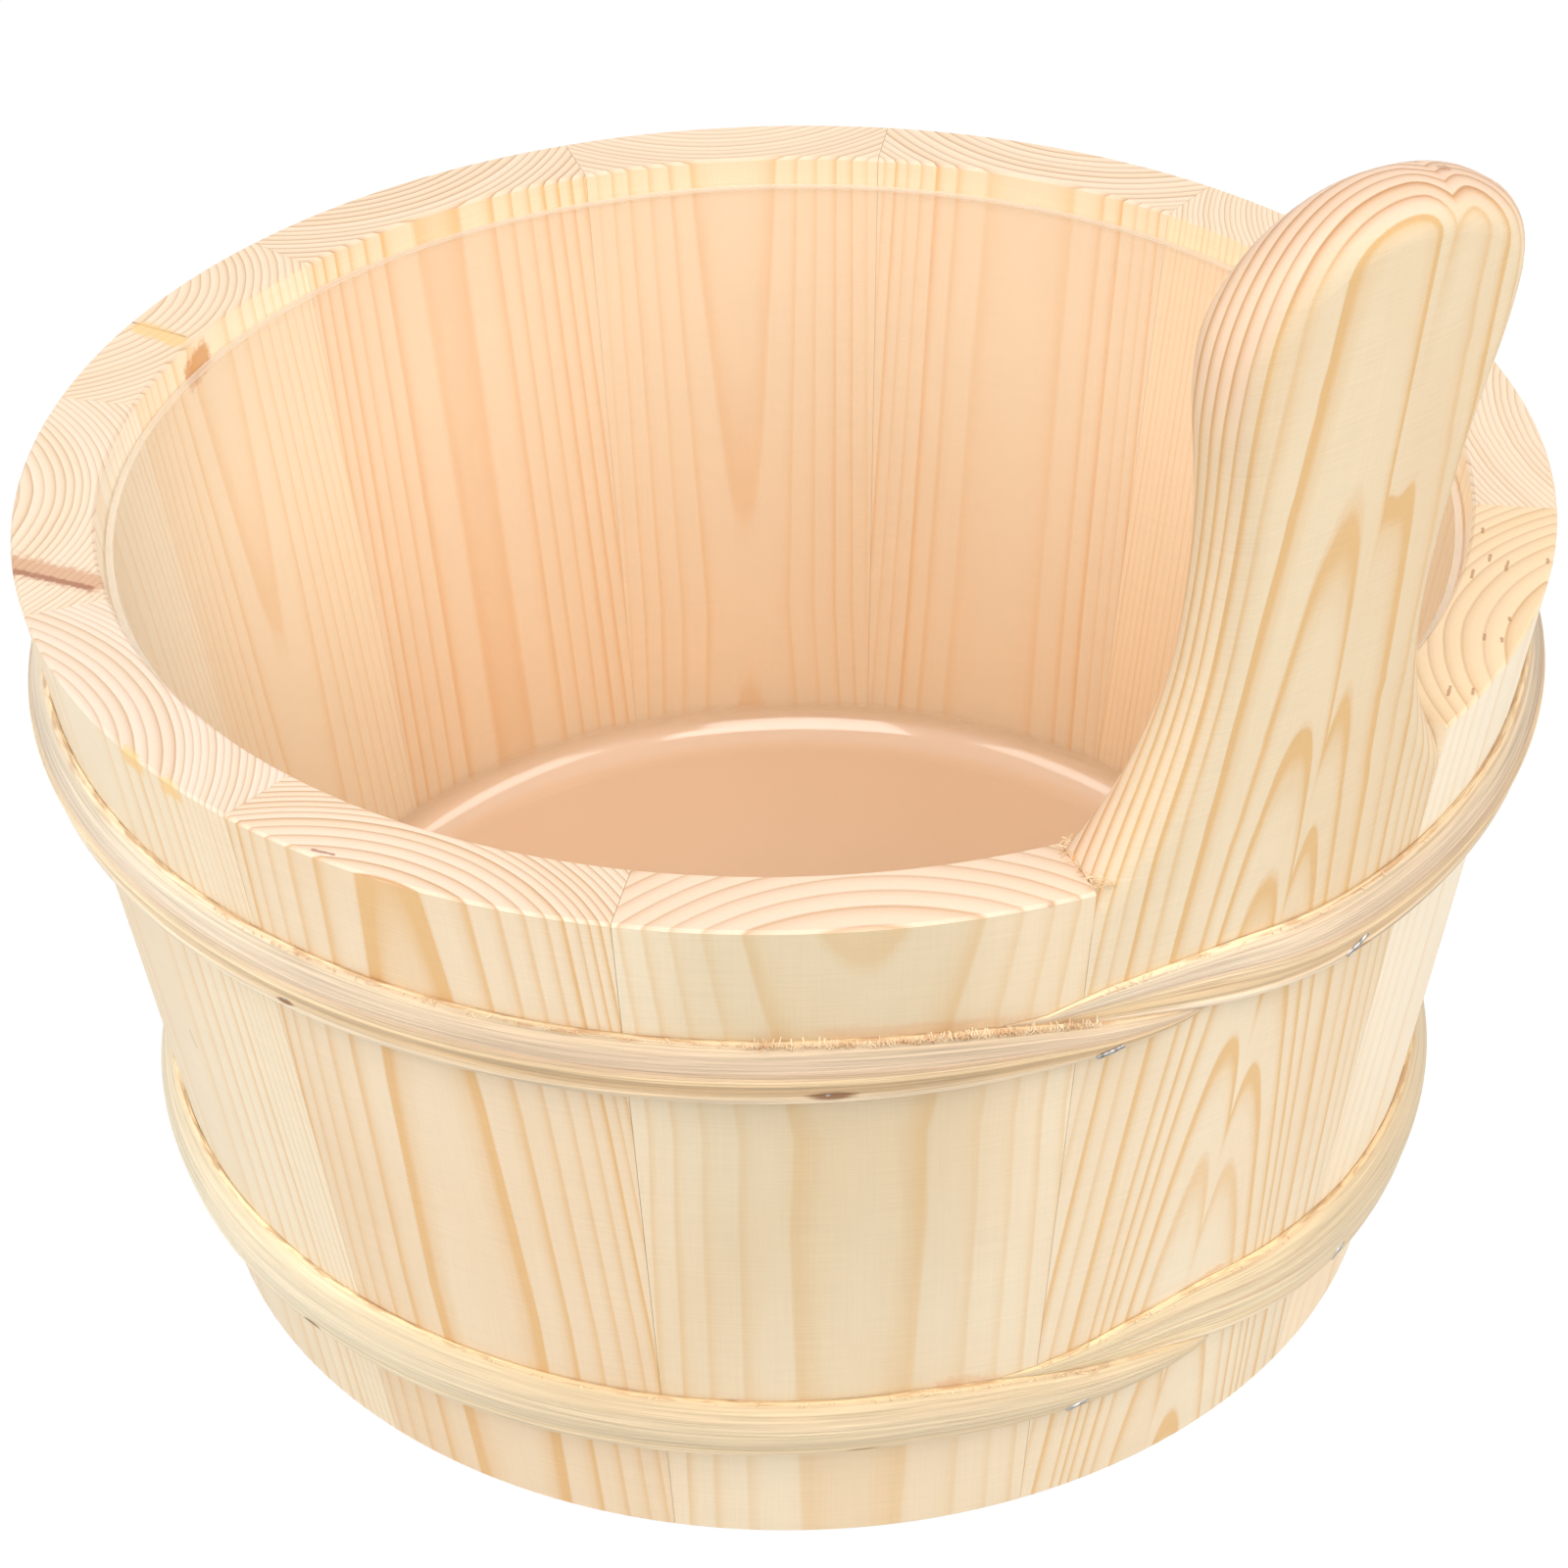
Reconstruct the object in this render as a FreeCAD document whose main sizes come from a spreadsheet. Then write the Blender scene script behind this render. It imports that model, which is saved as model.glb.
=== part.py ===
"""Coopered pine piggin: a ring of tapered staves round a boarded base, one stave left long for a handle,
two split-cane hoops stapled on, and a clear plastic liner that lifts out.

The origin is the centre of the circle that the staves' feet stand on. +Z is up. Azimuth is measured from +X
towards +Y, and the handle stands at about -54 degrees. Lengths are in millimetres.
"""
import FreeCAD, Part

import math
import os
import re

import Sketcher

# Driving sizes of the whole piggin, one row for each cell of the sheet.
SIZES = {
    # the ring of staves
    "rim_radius": 130.0,
    "flare": 22.8,
    "body_height": 145.5,
    "wall": 14.0,
    "glue_line": 0.08,
    "rim_ease": 0.5,
    "foot_bevel": 1.5,
    # the base and the groove that carries it
    "base_height": 12.0,
    "base_thickness": 12.0,
    "croze_depth": 4.0,
    "base_clearance": 0.15,
    "middle_board_width": 72.0,
    # the long stave
    "handle_rise": 111.5,
    "shoulder_ledge": 1.0,
    "neck_width": 42.5,
    "paddle_swell": 5.75,
    "paddle_radius": 60.0,
    "roundover": 6.0,
    # the hoops
    "rim_to_hoop": 28.0,
    "foot_to_hoop": 31.0,
    "hoop_width": 12.0,
    "hoop_thickness": 5.0,
    "hoop_clearance": 0.1,
    "lap_length": 50.0,
    "lap_kerf": 0.3,
    # the staples
    "wire": 1.0,
    "staple_span": 6.0,
    "staple_leg": 12.0,
    "staple_drop": 3.6,
    # the liner
    "liner_drop": 5.0,
    "liner_wall": 1.2,
    "liner_clearance": 0.5,
    "liner_seat_gap": 0.3,
    "liner_corner": 9.0,
    # one overrun for every cut that leaves the wood
    "overrun": 10.0,
}

# Shares of the full ring that the staves take, from the handle's right-hand neighbour round to the left-hand one.
STAVE_SHARES = [0.0853, 0.0811, 0.0819, 0.0819, 0.0778, 0.0847, 0.0783, 0.0875, 0.0847, 0.0814, 0.0883]
HANDLE_SHARE = 1 - sum(STAVE_SHARES)
HANDLE_AZIMUTH = -54.2

# The neck's height as a share of the way from the rim up to the paddle's widest place.
NECK_SHARE = 0.43
# The crown's rise, the radius of its corners and its lean to the left, as shares of the paddle's width.
CROWN_RISE_SHARE = 0.407
CROWN_CORNER_SHARE = 0.333
CROWN_LEAN_SHARE = 0.056

# Azimuths in degrees.
LAP_AZIMUTH = -63.0
STAPLE_TILT = 25.0
UPPER_STAPLE_AZIMUTHS = [-127.5, -87.8, -68.1, -47.0, -10.0, 35.0, 95.0, 125.0, 172.0]
LOWER_STAPLE_AZIMUTHS = [-136.0, -85.1, -66.6, -36.0, 5.0, 48.0, 92.0, 135.0, 178.0]

doc = FreeCAD.newDocument("piggin")
sheet = doc.addObject("Spreadsheet::Sheet", "Sizes")
for row, (alias, number) in enumerate(SIZES.items(), start=1):
    sheet.set(f"A{row}", alias)
    sheet.set(f"B{row}", str(number))
    sheet.setAlias(f"B{row}", alias)
doc.recompute()

ALIASES = re.compile(r"\b(" + "|".join(SIZES) + r")\b")


def formula(text):
    """A formula in the sheet's words, with each word pointed at its cell."""
    return ALIASES.sub(r"Sizes.\1", text)


def value(text):
    """The number that a formula gives now."""
    return float(sheet.evalExpression(formula(text)))


def origin_feature(body, role):
    return next(item for item in body.Origin.OriginFeatures if item.Role == role)


def arc_between(start, end, radius, turn):
    """The arc under a half circle from start to end, turning left (+1) or right (-1)."""
    chord = end - start
    reach = math.sqrt(max(radius ** 2 - chord.Length ** 2 / 4, 0))
    side = FreeCAD.Vector(-chord.y, chord.x, 0).normalize()
    centre = (start + end) / 2 + side * reach * turn
    first, last = (start, end) if turn > 0 else (end, start)
    angles = [math.atan2(point.y - centre.y, point.x - centre.x) for point in (first, last)]
    return Part.ArcOfCircle(Part.Circle(centre, FreeCAD.Vector(0, 0, 1), radius), *angles)


def draw(body, plane, name, path):
    """A closed sketch through the path's corners. A corner is (across, up), or (across, up, radius, turn)
    where the edge that leaves it is an arc. Every length in it is a formula bound to the sheet."""
    sketch = body.newObject("Sketcher::SketchObject", name)
    sketch.AttachmentSupport = [(origin_feature(body, plane), "")]
    sketch.MapMode = "FlatFace"
    corners = [FreeCAD.Vector(value(corner[0]), value(corner[1]), 0) for corner in path]
    starts = []
    ends = []
    for index, corner in enumerate(path):
        start, end = corners[index], corners[(index + 1) % len(path)]
        if len(corner) == 2:
            sketch.addGeometry(Part.LineSegment(start, end))
            starts.append(1)
            ends.append(2)
            continue
        radius, turn = corner[2:]
        sketch.addGeometry(arc_between(start, end, value(radius), turn))
        starts.append(1 if turn > 0 else 2)
        ends.append(2 if turn > 0 else 1)
    for index in range(len(path)):
        following = (index + 1) % len(path)
        sketch.addConstraint(
            Sketcher.Constraint("Coincident", index, ends[index], following, starts[following])
        )
    for index, corner in enumerate(path):
        for kind, length, axis in (("DistanceX", corner[0], -2), ("DistanceY", corner[1], -1)):
            if length == "0":
                sketch.addConstraint(Sketcher.Constraint("PointOnObject", index, starts[index], axis))
                continue
            constraint = Sketcher.Constraint(kind, -1, 1, index, starts[index], value(length))
            number = sketch.addConstraint(constraint)
            sketch.setExpression(f"Constraints[{number}]", formula(length))
        if len(corner) > 2:
            number = sketch.addConstraint(Sketcher.Constraint("Radius", index, value(corner[2])))
            sketch.setExpression(f"Constraints[{number}]", formula(corner[2]))
    return sketch


def new_body(label):
    body = doc.addObject("PartDesign::Body", label)
    body.Label = label
    return body


def revolve(body, sketch, angle):
    """Turn a sketch about the piggin's axis, half of the angle to each side."""
    turned = body.newObject("PartDesign::Revolution", f"{body.Label}_turned")
    turned.Profile = sketch
    turned.ReferenceAxis = (origin_feature(body, "Z_Axis"), [""])
    turned.Midplane = True
    turned.setExpression("Angle", formula(angle))
    body.Tip = turned
    doc.recompute()
    return turned


def cut_through(body, sketch, label):
    """Cut a sketch drawn on the YZ plane out of the wood on the +X side, right through."""
    before = body.Shape.Volume
    cut = body.newObject("PartDesign::Pocket", f"{body.Label}_{label}")
    cut.Profile = sketch
    cut.Type = 0
    cut.Reversed = True
    cut.setExpression("Length", formula("2 * rim_radius"))
    body.Tip = cut
    doc.recompute()
    if not body.Shape.Volume < before:
        raise RuntimeError(f"{cut.Label} cut nothing")
    return cut


def turn_to(body, azimuth):
    """Stand a body, built on the +X side, at its azimuth round the axis."""
    body.Placement.Rotation = FreeCAD.Rotation(FreeCAD.Vector(0, 0, 1), azimuth)


# Lines of the staves' section, as formulas. The outside and the inside of the wall lean out together.
FOOT_RADIUS = "(rim_radius - flare)"
LEAN = "(flare / body_height)"
COS_LEAN = f"(1 / sqrt(1 + {LEAN} ^ 2))"
SIN_LEAN = f"({LEAN} * {COS_LEAN})"


def outside(height):
    return f"({FOOT_RADIUS} + {LEAN} * ({height}))"


def inside(height):
    return f"({outside(height)} - wall)"


BASE_RADIUS = f"({inside('base_height + base_thickness / 2')} + croze_depth)"
CROZE_RADIUS = f"({BASE_RADIUS} + base_clearance)"
CROZE_LOW = "(base_height - base_clearance)"
CROZE_HIGH = "(base_height + base_thickness + base_clearance)"


def foot_and_croze():
    """The inside of the section from the croze down, and the foot out to the bevel's upper corner."""
    return [
        (inside(CROZE_HIGH), CROZE_HIGH),
        (CROZE_RADIUS, CROZE_HIGH),
        (CROZE_RADIUS, CROZE_LOW),
        (inside(CROZE_LOW), CROZE_LOW),
        (inside("foot_bevel"), "foot_bevel"),
        (f"{FOOT_RADIUS} - wall + foot_bevel", "0"),
        (f"{FOOT_RADIUS} - foot_bevel", "0"),
        (outside("foot_bevel"), "foot_bevel"),
    ]


def stave_angle(share):
    return f"360 * {share:.6f} - glue_line / rim_radius * 180 / pi"


def make_stave(label, share, azimuth):
    """One plain stave: a wedge of the ring, grooved inside for the base and eased at rim and foot."""
    body = new_body(label)
    top = [
        (outside("body_height - rim_ease"), "body_height - rim_ease"),
        ("rim_radius - rim_ease", "body_height"),
        ("rim_radius - wall + rim_ease", "body_height"),
        (inside("body_height - rim_ease"), "body_height - rim_ease"),
    ]
    section = draw(body, "XZ_Plane", f"{label}_section", foot_and_croze() + top)
    revolve(body, section, stave_angle(share))
    turn_to(body, azimuth)
    return body


HANDLE_TOP = "(body_height + handle_rise)"
HALF_SHOULDER = f"(rim_radius * sin(180 * {HANDLE_SHARE:.6f}) - shoulder_ledge)"
HALF_NECK = "(neck_width / 2)"
HALF_PADDLE = f"({HALF_NECK} + paddle_swell)"
CROWN_RISE = f"({CROWN_RISE_SHARE} * 2 * {HALF_PADDLE})"
CROWN_CORNER = f"({CROWN_CORNER_SHARE} * 2 * {HALF_PADDLE})"
CROWN_LEAN = f"({CROWN_LEAN_SHARE} * 2 * {HALF_PADDLE})"
PADDLE_HEIGHT = f"({HANDLE_TOP} - {CROWN_RISE})"
NECK_HEIGHT = f"(body_height + {NECK_SHARE} * ({PADDLE_HEIGHT} - body_height))"


def side_of_handle(sign, apex, turn):
    """Corners up one side of the handle's outline, from the rim to just short of the crown's apex: a cove,
    a hollow, the paddle's side, its corner and the crown, all tangent. Turn is -1 on the right-hand side
    and +1 on the left, where the sign is a minus."""
    rise = f"({NECK_HEIGHT} - body_height)"
    step = f"({HALF_SHOULDER} - {HALF_NECK})"
    cove = f"(({step} ^ 2 + {rise} ^ 2) / (2 * {step}))"
    climb = f"({PADDLE_HEIGHT} - {NECK_HEIGHT})"
    both = f"((paddle_swell ^ 2 + {climb} ^ 2) / (2 * paddle_swell))"
    hollow = f"({both} - paddle_radius)"
    crown_half = f"({HALF_PADDLE} - ({apex}))"
    crown = (
        f"(({crown_half} ^ 2 + {CROWN_RISE} ^ 2 - 2 * {crown_half} * {CROWN_CORNER})"
        f" / (2 * ({CROWN_RISE} - {CROWN_CORNER})))"
    )
    part = f"({crown} / ({crown} - {CROWN_CORNER}))"
    return [
        (f"{sign}{HALF_SHOULDER}", "body_height", cove, turn),
        (f"{sign}{HALF_NECK}", NECK_HEIGHT, hollow, turn),
        (
            f"{sign}({HALF_NECK} + {hollow} * paddle_swell / {both})",
            f"{NECK_HEIGHT} + {climb} * {hollow} / {both}",
            "paddle_radius",
            -turn,
        ),
        (f"{sign}{HALF_PADDLE}", PADDLE_HEIGHT, CROWN_CORNER, -turn),
        (
            f"{sign}({apex} + ({crown_half} - {CROWN_CORNER}) * {part})",
            f"{HANDLE_TOP} - {crown} + ({crown} - {CROWN_RISE}) * {part}",
            crown,
            -turn,
        ),
    ]


def handle_waste():
    """The wood sawn away round the handle, above the rim."""
    right = side_of_handle("", f"-{CROWN_LEAN}", -1)
    left = side_of_handle("-", CROWN_LEAN, 1)
    apex = (f"-{CROWN_LEAN}", HANDLE_TOP)
    going_down = []
    for below, above in zip(left, left[1:] + [apex]):
        going_down.append((above[0], above[1], below[2], -below[3]))
    high = f"({HANDLE_TOP} + 2 * overrun)"
    far = f"({outside(high)} * sin(180 * {HANDLE_SHARE:.6f}) + overrun)"
    frame = [
        (left[0][0], left[0][1]),
        (f"-{far}", "body_height"),
        (f"-{far}", high),
        (far, high),
        (far, "body_height"),
    ]
    return right + going_down[::-1] + frame


def sawn_edges(shape):
    """Names of the edges above the rim where a sawn face meets the front or the back of the handle."""
    rim = value("body_height")
    fronts = [face for face in shape.Faces if isinstance(face.Surface, Part.Cone)]
    sawn = [face for face in shape.Faces if isinstance(face.Surface, Part.Cylinder)]
    names = []
    for number, edge in enumerate(shape.Edges, start=1):
        if edge.CenterOfMass.z <= rim:
            continue
        on_front = any(edge.isSame(other) for face in fronts for other in face.Edges)
        on_sawn = any(edge.isSame(other) for face in sawn for other in face.Edges)
        if on_front and on_sawn:
            names.append(f"Edge{number}")
    return names


def make_handle_stave():
    """The long stave: the same wedge carried on up the same lean, sawn to the handle's outline and
    rounded over along both faces."""
    body = new_body("handle_stave")
    high = f"{HANDLE_TOP} + overrun"
    top = [(outside(high), high), (inside(high), high)]
    section = draw(body, "XZ_Plane", "handle_section", foot_and_croze() + top)
    revolve(body, section, stave_angle(HANDLE_SHARE))
    sawn = cut_through(body, draw(body, "YZ_Plane", "handle_outline", handle_waste()), "sawn")
    rounded = body.newObject("PartDesign::Fillet", "handle_rounded")
    rounded.Base = (sawn, sawn_edges(sawn.Shape))
    rounded.setExpression("Radius", formula("min(roundover; 0.45 * wall)"))
    body.Tip = rounded
    turn_to(body, HANDLE_AZIMUTH)
    return body


def on_disc(sign, seam):
    """The point where a seam meets the edge of the base's disc, on the right, or on the left with a minus."""
    return (f"{sign}sqrt({BASE_RADIUS} ^ 2 - ({seam}) ^ 2)", seam)


def make_base_board(label, low, high):
    """One board of the base: the slice of its disc between two seams, or between a seam and the edge."""
    body = new_body(label)
    if low is None:
        path = [on_disc("-", high), on_disc("", high) + (BASE_RADIUS, -1)]
    elif high is None:
        path = [on_disc("", low), on_disc("-", low) + (BASE_RADIUS, -1)]
    else:
        path = [
            on_disc("-", low),
            on_disc("", low) + (BASE_RADIUS, 1),
            on_disc("", high),
            on_disc("-", high) + (BASE_RADIUS, 1),
        ]
    board = body.newObject("PartDesign::Pad", f"{label}_pad")
    board.Profile = draw(body, "XY_Plane", f"{label}_outline", path)
    board.setExpression("Length", formula("base_thickness"))
    body.Tip = board
    doc.recompute()
    body.Placement.Base = FreeCAD.Vector(0, 0, value("base_height"))
    return body


UPPER_HOOP_HEIGHT = "(body_height - rim_to_hoop)"
LOWER_HOOP_HEIGHT = "foot_to_hoop"
HALF_HOOP = f"(hoop_width / 2 / {COS_LEAN})"
HOOP_BULGE = f"(({HALF_HOOP} ^ 2 + hoop_thickness ^ 2) / (2 * hoop_thickness))"


def make_hoop(label, height):
    """A split-cane strip bent round the staves, flat at its back, with its two ends cut to long
    slants that lie one over the other."""
    body = new_body(label)
    low = f"({height} - hoop_width / 2)"
    high = f"({height} + hoop_width / 2)"
    path = [
        (f"{outside(low)} + hoop_clearance", low, HOOP_BULGE, 1),
        (f"{outside(high)} + hoop_clearance", high),
    ]
    revolve(body, draw(body, "XZ_Plane", f"{label}_section", path), "360")
    ahead = "(lap_length / 2 * (1 + overrun / hoop_width))"
    kerf = "(lap_kerf / 2 * sqrt(lap_length ^ 2 + hoop_width ^ 2) / hoop_width)"
    under = f"({height} - hoop_width / 2 - overrun / 2)"
    above = f"({height} + hoop_width / 2 + overrun / 2)"
    slot = [
        (f"{ahead} - {kerf}", under),
        (f"{ahead} + {kerf}", under),
        (f"-{ahead} + {kerf}", above),
        (f"-{ahead} - {kerf}", above),
    ]
    cut_through(body, draw(body, "YZ_Plane", f"{label}_lap", slot), "lap")
    turn_to(body, LAP_AZIMUTH)
    return body


def make_liner():
    """The liner: one thin moulded tub, its wall parallel to the staves and its corner rounded."""
    body = new_body("plastic_liner")
    seat = "(base_height + base_thickness + liner_seat_gap)"
    floor = f"({seat} + liner_wall)"
    top = "(body_height - liner_drop)"
    inner_corner = "(liner_corner - liner_wall)"

    def wall_outside(height):
        return f"({inside(height)} - liner_clearance)"

    def wall_inside(height):
        return f"({wall_outside(height)} - liner_wall / {COS_LEAN})"

    centre_up = f"({seat} + liner_corner)"
    centre_across = f"({wall_outside(centre_up)} - liner_corner / {COS_LEAN})"
    path = [
        ("0", seat),
        (centre_across, seat, "liner_corner", 1),
        (f"{centre_across} + liner_corner * {COS_LEAN}", f"{centre_up} - liner_corner * {SIN_LEAN}"),
        (wall_outside(top), top),
        (wall_inside(top), top),
        (
            f"{centre_across} + {inner_corner} * {COS_LEAN}",
            f"{centre_up} - {inner_corner} * {SIN_LEAN}",
            inner_corner,
            -1,
        ),
        (centre_across, floor),
        ("0", floor),
    ]
    revolve(body, draw(body, "XZ_Plane", "liner_section", path), "360")
    return body


def staple_shape():
    """One wire staple at the origin: its crown lies across, tilted, and its two legs point inwards, square to
    the staves' lean."""
    radius = value("wire / 2")
    half = value("staple_span / 2")
    leg = value("staple_leg")
    inwards = FreeCAD.Vector(-1, 0, 0)
    across = FreeCAD.Vector(0, 1, 0)
    pieces = [Part.makeCylinder(radius, 2 * half, across * -half, across)]
    for side in (-half, half):
        pieces.append(Part.makeSphere(radius, across * side))
        pieces.append(Part.makeCylinder(radius, leg, across * side, inwards))
    staple = pieces[0].fuse(pieces[1:]).removeSplitter()
    origin = FreeCAD.Vector(0, 0, 0)
    staple.rotate(origin, FreeCAD.Vector(1, 0, 0), STAPLE_TILT)
    staple.rotate(origin, across, math.degrees(math.atan(value(LEAN))))
    return staple


def make_staples(label, hoop_height, azimuths):
    """A hoop's staples: each crown is pressed into the hoop's lower half, its legs run into the staves."""
    drop = value("staple_drop")
    bulge = value(HOOP_BULGE)
    stand = math.sqrt(bulge ** 2 - drop ** 2) - (bulge - value("hoop_thickness"))
    along = FreeCAD.Vector(value(SIN_LEAN), 0, value(COS_LEAN))
    outwards = FreeCAD.Vector(value(COS_LEAN), 0, -value(SIN_LEAN))
    middle = FreeCAD.Vector(value(f"{outside(hoop_height)} + hoop_clearance"), 0, value(hoop_height))
    seat = middle - along * drop + outwards * stand
    staples = []
    for azimuth in azimuths:
        staple = staple_shape()
        staple.translate(seat)
        staple.rotate(FreeCAD.Vector(0, 0, 0), FreeCAD.Vector(0, 0, 1), azimuth)
        staples.append(staple)
    group = doc.addObject("Part::Feature", label)
    group.Label = label
    group.Shape = Part.makeCompound(staples)
    return group


def make_staves():
    """Eleven plain staves, laid side by side from the handle's right-hand edge round to its left."""
    staves = []
    edge = HANDLE_AZIMUTH + 180 * HANDLE_SHARE
    for number, share in enumerate(STAVE_SHARES, start=1):
        staves.append(make_stave(f"stave_{number:02d}", share, edge + 180 * share))
        edge += 360 * share
    return staves


seam = "(middle_board_width / 2)"
parts = make_staves()
parts.append(make_handle_stave())
parts.append(make_base_board("base_board_front", None, f"-({seam} + glue_line)"))
parts.append(make_base_board("base_board_middle", f"-{seam}", seam))
parts.append(make_base_board("base_board_back", f"({seam} + glue_line)", None))
parts.append(make_hoop("upper_hoop", UPPER_HOOP_HEIGHT))
parts.append(make_hoop("lower_hoop", LOWER_HOOP_HEIGHT))
parts.append(make_staples("upper_hoop_staples", UPPER_HOOP_HEIGHT, UPPER_STAPLE_AZIMUTHS))
parts.append(make_staples("lower_hoop_staples", LOWER_HOOP_HEIGHT, LOWER_STAPLE_AZIMUTHS))
parts.append(make_liner())
doc.recompute()

for item in doc.Objects:
    if "Invalid" in item.State or "Error" in item.State:
        raise RuntimeError(f"{item.Label} failed to build: {item.State}")
for item in parts:
    if item.Shape.isNull() or not item.Shape.isValid():
        raise RuntimeError(f"{item.Label} has no valid solid")

os.makedirs("parts", exist_ok=True)
for item in parts:
    item.Shape.exportStep(f"parts/{item.Label}.step")
    box = item.Shape.BoundBox
    print(f"{item.Label}: {len(item.Shape.Solids)} solid(s), {item.Shape.Volume / 1000:.2f} cm3,"
          f" z {box.ZMin:.1f} to {box.ZMax:.1f}")
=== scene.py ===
# %% [markdown]
# # A coopered pine piggin
# A piggin is a small pail with one stave left long for a handle. This one is made of twelve pine staves
# round a boarded base, with two split-cane hoops stapled on and a milky plastic liner that lifts out.
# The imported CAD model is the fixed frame: every piece below stays where it says, in metres, with +Z up.

# %% Load the frame
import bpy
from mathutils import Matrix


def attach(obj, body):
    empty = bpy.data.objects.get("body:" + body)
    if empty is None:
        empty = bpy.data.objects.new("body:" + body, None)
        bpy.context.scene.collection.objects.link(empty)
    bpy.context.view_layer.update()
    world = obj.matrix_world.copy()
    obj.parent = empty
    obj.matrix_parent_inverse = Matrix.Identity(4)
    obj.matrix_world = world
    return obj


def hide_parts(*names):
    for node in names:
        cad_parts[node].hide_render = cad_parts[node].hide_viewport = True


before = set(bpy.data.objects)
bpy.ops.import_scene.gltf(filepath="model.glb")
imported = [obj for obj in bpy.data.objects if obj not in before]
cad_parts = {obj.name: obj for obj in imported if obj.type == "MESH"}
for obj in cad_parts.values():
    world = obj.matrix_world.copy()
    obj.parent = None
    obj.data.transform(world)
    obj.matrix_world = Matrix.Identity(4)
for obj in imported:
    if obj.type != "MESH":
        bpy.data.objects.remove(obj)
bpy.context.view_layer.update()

import math
import random

import bmesh
import bpy
from mathutils import Matrix, Vector

scene = bpy.context.scene
MM = 0.001
PLAIN = (1.0, 1.0, 1.0)
print("pieces of the frame:", sorted(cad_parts))

# %% [markdown]
# ## The pail's own sizes
# The staves lean outwards, so the radius of any place on the wall follows from its height. These few sizes
# are the ones that the looks need again and again: for the grain, for the hoops and for the staples.

# %% Sizes of the pail, in millimetres
FOOT_RADIUS = 107.2
BODY_HEIGHT = 145.5
LEAN = 22.8 / BODY_HEIGHT
COS_LEAN = 1 / math.hypot(1, LEAN)
WALL = 14.0


def outside_radius(height):
    return FOOT_RADIUS + LEAN * height


print("rim radius:", round(outside_radius(BODY_HEIGHT), 1))

# %% [markdown]
# ## The camera
# The photograph looks down into the pail from about 36 degrees above the floor, through a long lens. The
# camera could be placed by eye, but its place, its lens and the small turn and shift of its picture were worked
# out from the two ellipses of the rim and the foot, so that every line can be compared with the photograph.

# %% Set up the camera
CAMERA_PLACE = Vector((0.0, -0.6142, 0.5136))
CAMERA_TARGET = Vector((0.0, 0.0, 0.07275))
CAMERA_ROLL = 0.0195


def add_object(name, data):
    """An object that carries the data, in the scene."""
    thing = bpy.data.objects.new(name, data)
    scene.collection.objects.link(thing)
    return thing


lens = bpy.data.cameras.new("photo_camera")
lens.lens = 96.52
lens.sensor_width = 36.0
lens.shift_x = -0.00349
lens.shift_y = 0.0210
lens.clip_start = 0.01
camera = add_object("photo_camera", lens)
camera.location = CAMERA_PLACE
aim = (CAMERA_TARGET - CAMERA_PLACE).to_track_quat("-Z", "Y").to_matrix()
camera.rotation_euler = (aim @ Matrix.Rotation(-CAMERA_ROLL, 3, "Z")).to_euler()
scene.camera = camera
scene.view_settings.view_transform = "Standard"
downwards = math.degrees(math.atan2(CAMERA_PLACE.z - CAMERA_TARGET.z, -CAMERA_PLACE.y))
print("camera looks down by", round(downwards, 1), "degrees")

# %% [markdown]
# ## Wiring shader nodes
# Wood is drawn with numbers: how far a point is from the heart of the tree, and where that falls between
# two rings. A few small helpers keep the node trees readable. Each takes plain numbers or sockets alike.

# %% Small helpers for node trees
def paint(red, green, blue):
    """A colour written in the 0 to 255 of a colour chart, as the linear colour that a shader takes."""
    linear = []
    for level in (red, green, blue):
        level = level / 255
        linear.append(level / 12.92 if level <= 0.04045 else ((level + 0.055) / 1.055) ** 2.4)
    return (*linear, 1.0)


def join(tree, source, target):
    """Link a socket to an input, or write a plain value into it."""
    if isinstance(source, bpy.types.NodeSocket):
        tree.links.new(source, target)
    else:
        target.default_value = source


def add_node(tree, kind, *sources, **settings):
    """A shader node with its settings, and with its first inputs filled in their order."""
    node = tree.nodes.new("ShaderNode" + kind)
    for label, setting in settings.items():
        setattr(node, label, setting)
    for target, source in zip(node.inputs, sources):
        join(tree, source, target)
    return node


def feed(tree, node, **given):
    """Fill a node's inputs by name. A name has spaces where the keyword has underscores."""
    for label, source in given.items():
        join(tree, source, node.inputs[label.replace("_", " ")])
    return node


def calc(tree, operation, *sources):
    return add_node(tree, "Math", *sources, operation=operation).outputs[0]


def times(tree, first, second):
    return calc(tree, "MULTIPLY", first, second)


def times_add(tree, first, second, third):
    return calc(tree, "MULTIPLY_ADD", first, second, third)


def vector_calc(tree, operation, *sources, scale=None):
    """A vector sum. Lengths and dot products come back as numbers."""
    node = add_node(tree, "VectorMath", *sources, operation=operation)
    if scale is not None:
        join(tree, scale, node.inputs["Scale"])
    return node.outputs["Value" if operation in ("LENGTH", "DOT_PRODUCT") else "Vector"]


def ramp_between(tree, source, low, high, out_low=0.0, out_high=1.0, soft=True):
    """A value moved from one span to another, eased at both ends."""
    return add_node(tree, "MapRange", source, low, high, out_low, out_high,
                    interpolation_type="SMOOTHSTEP" if soft else "LINEAR").outputs[0]


def mix_paint(tree, amount, first, second, way="MIX"):
    """Two colours mixed. Their sockets come after the node's sockets for numbers and vectors."""
    node = add_node(tree, "Mix", amount, data_type="RGBA", blend_type=way)
    join(tree, first, node.inputs[6])
    join(tree, second, node.inputs[7])
    return node.outputs[2]


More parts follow.
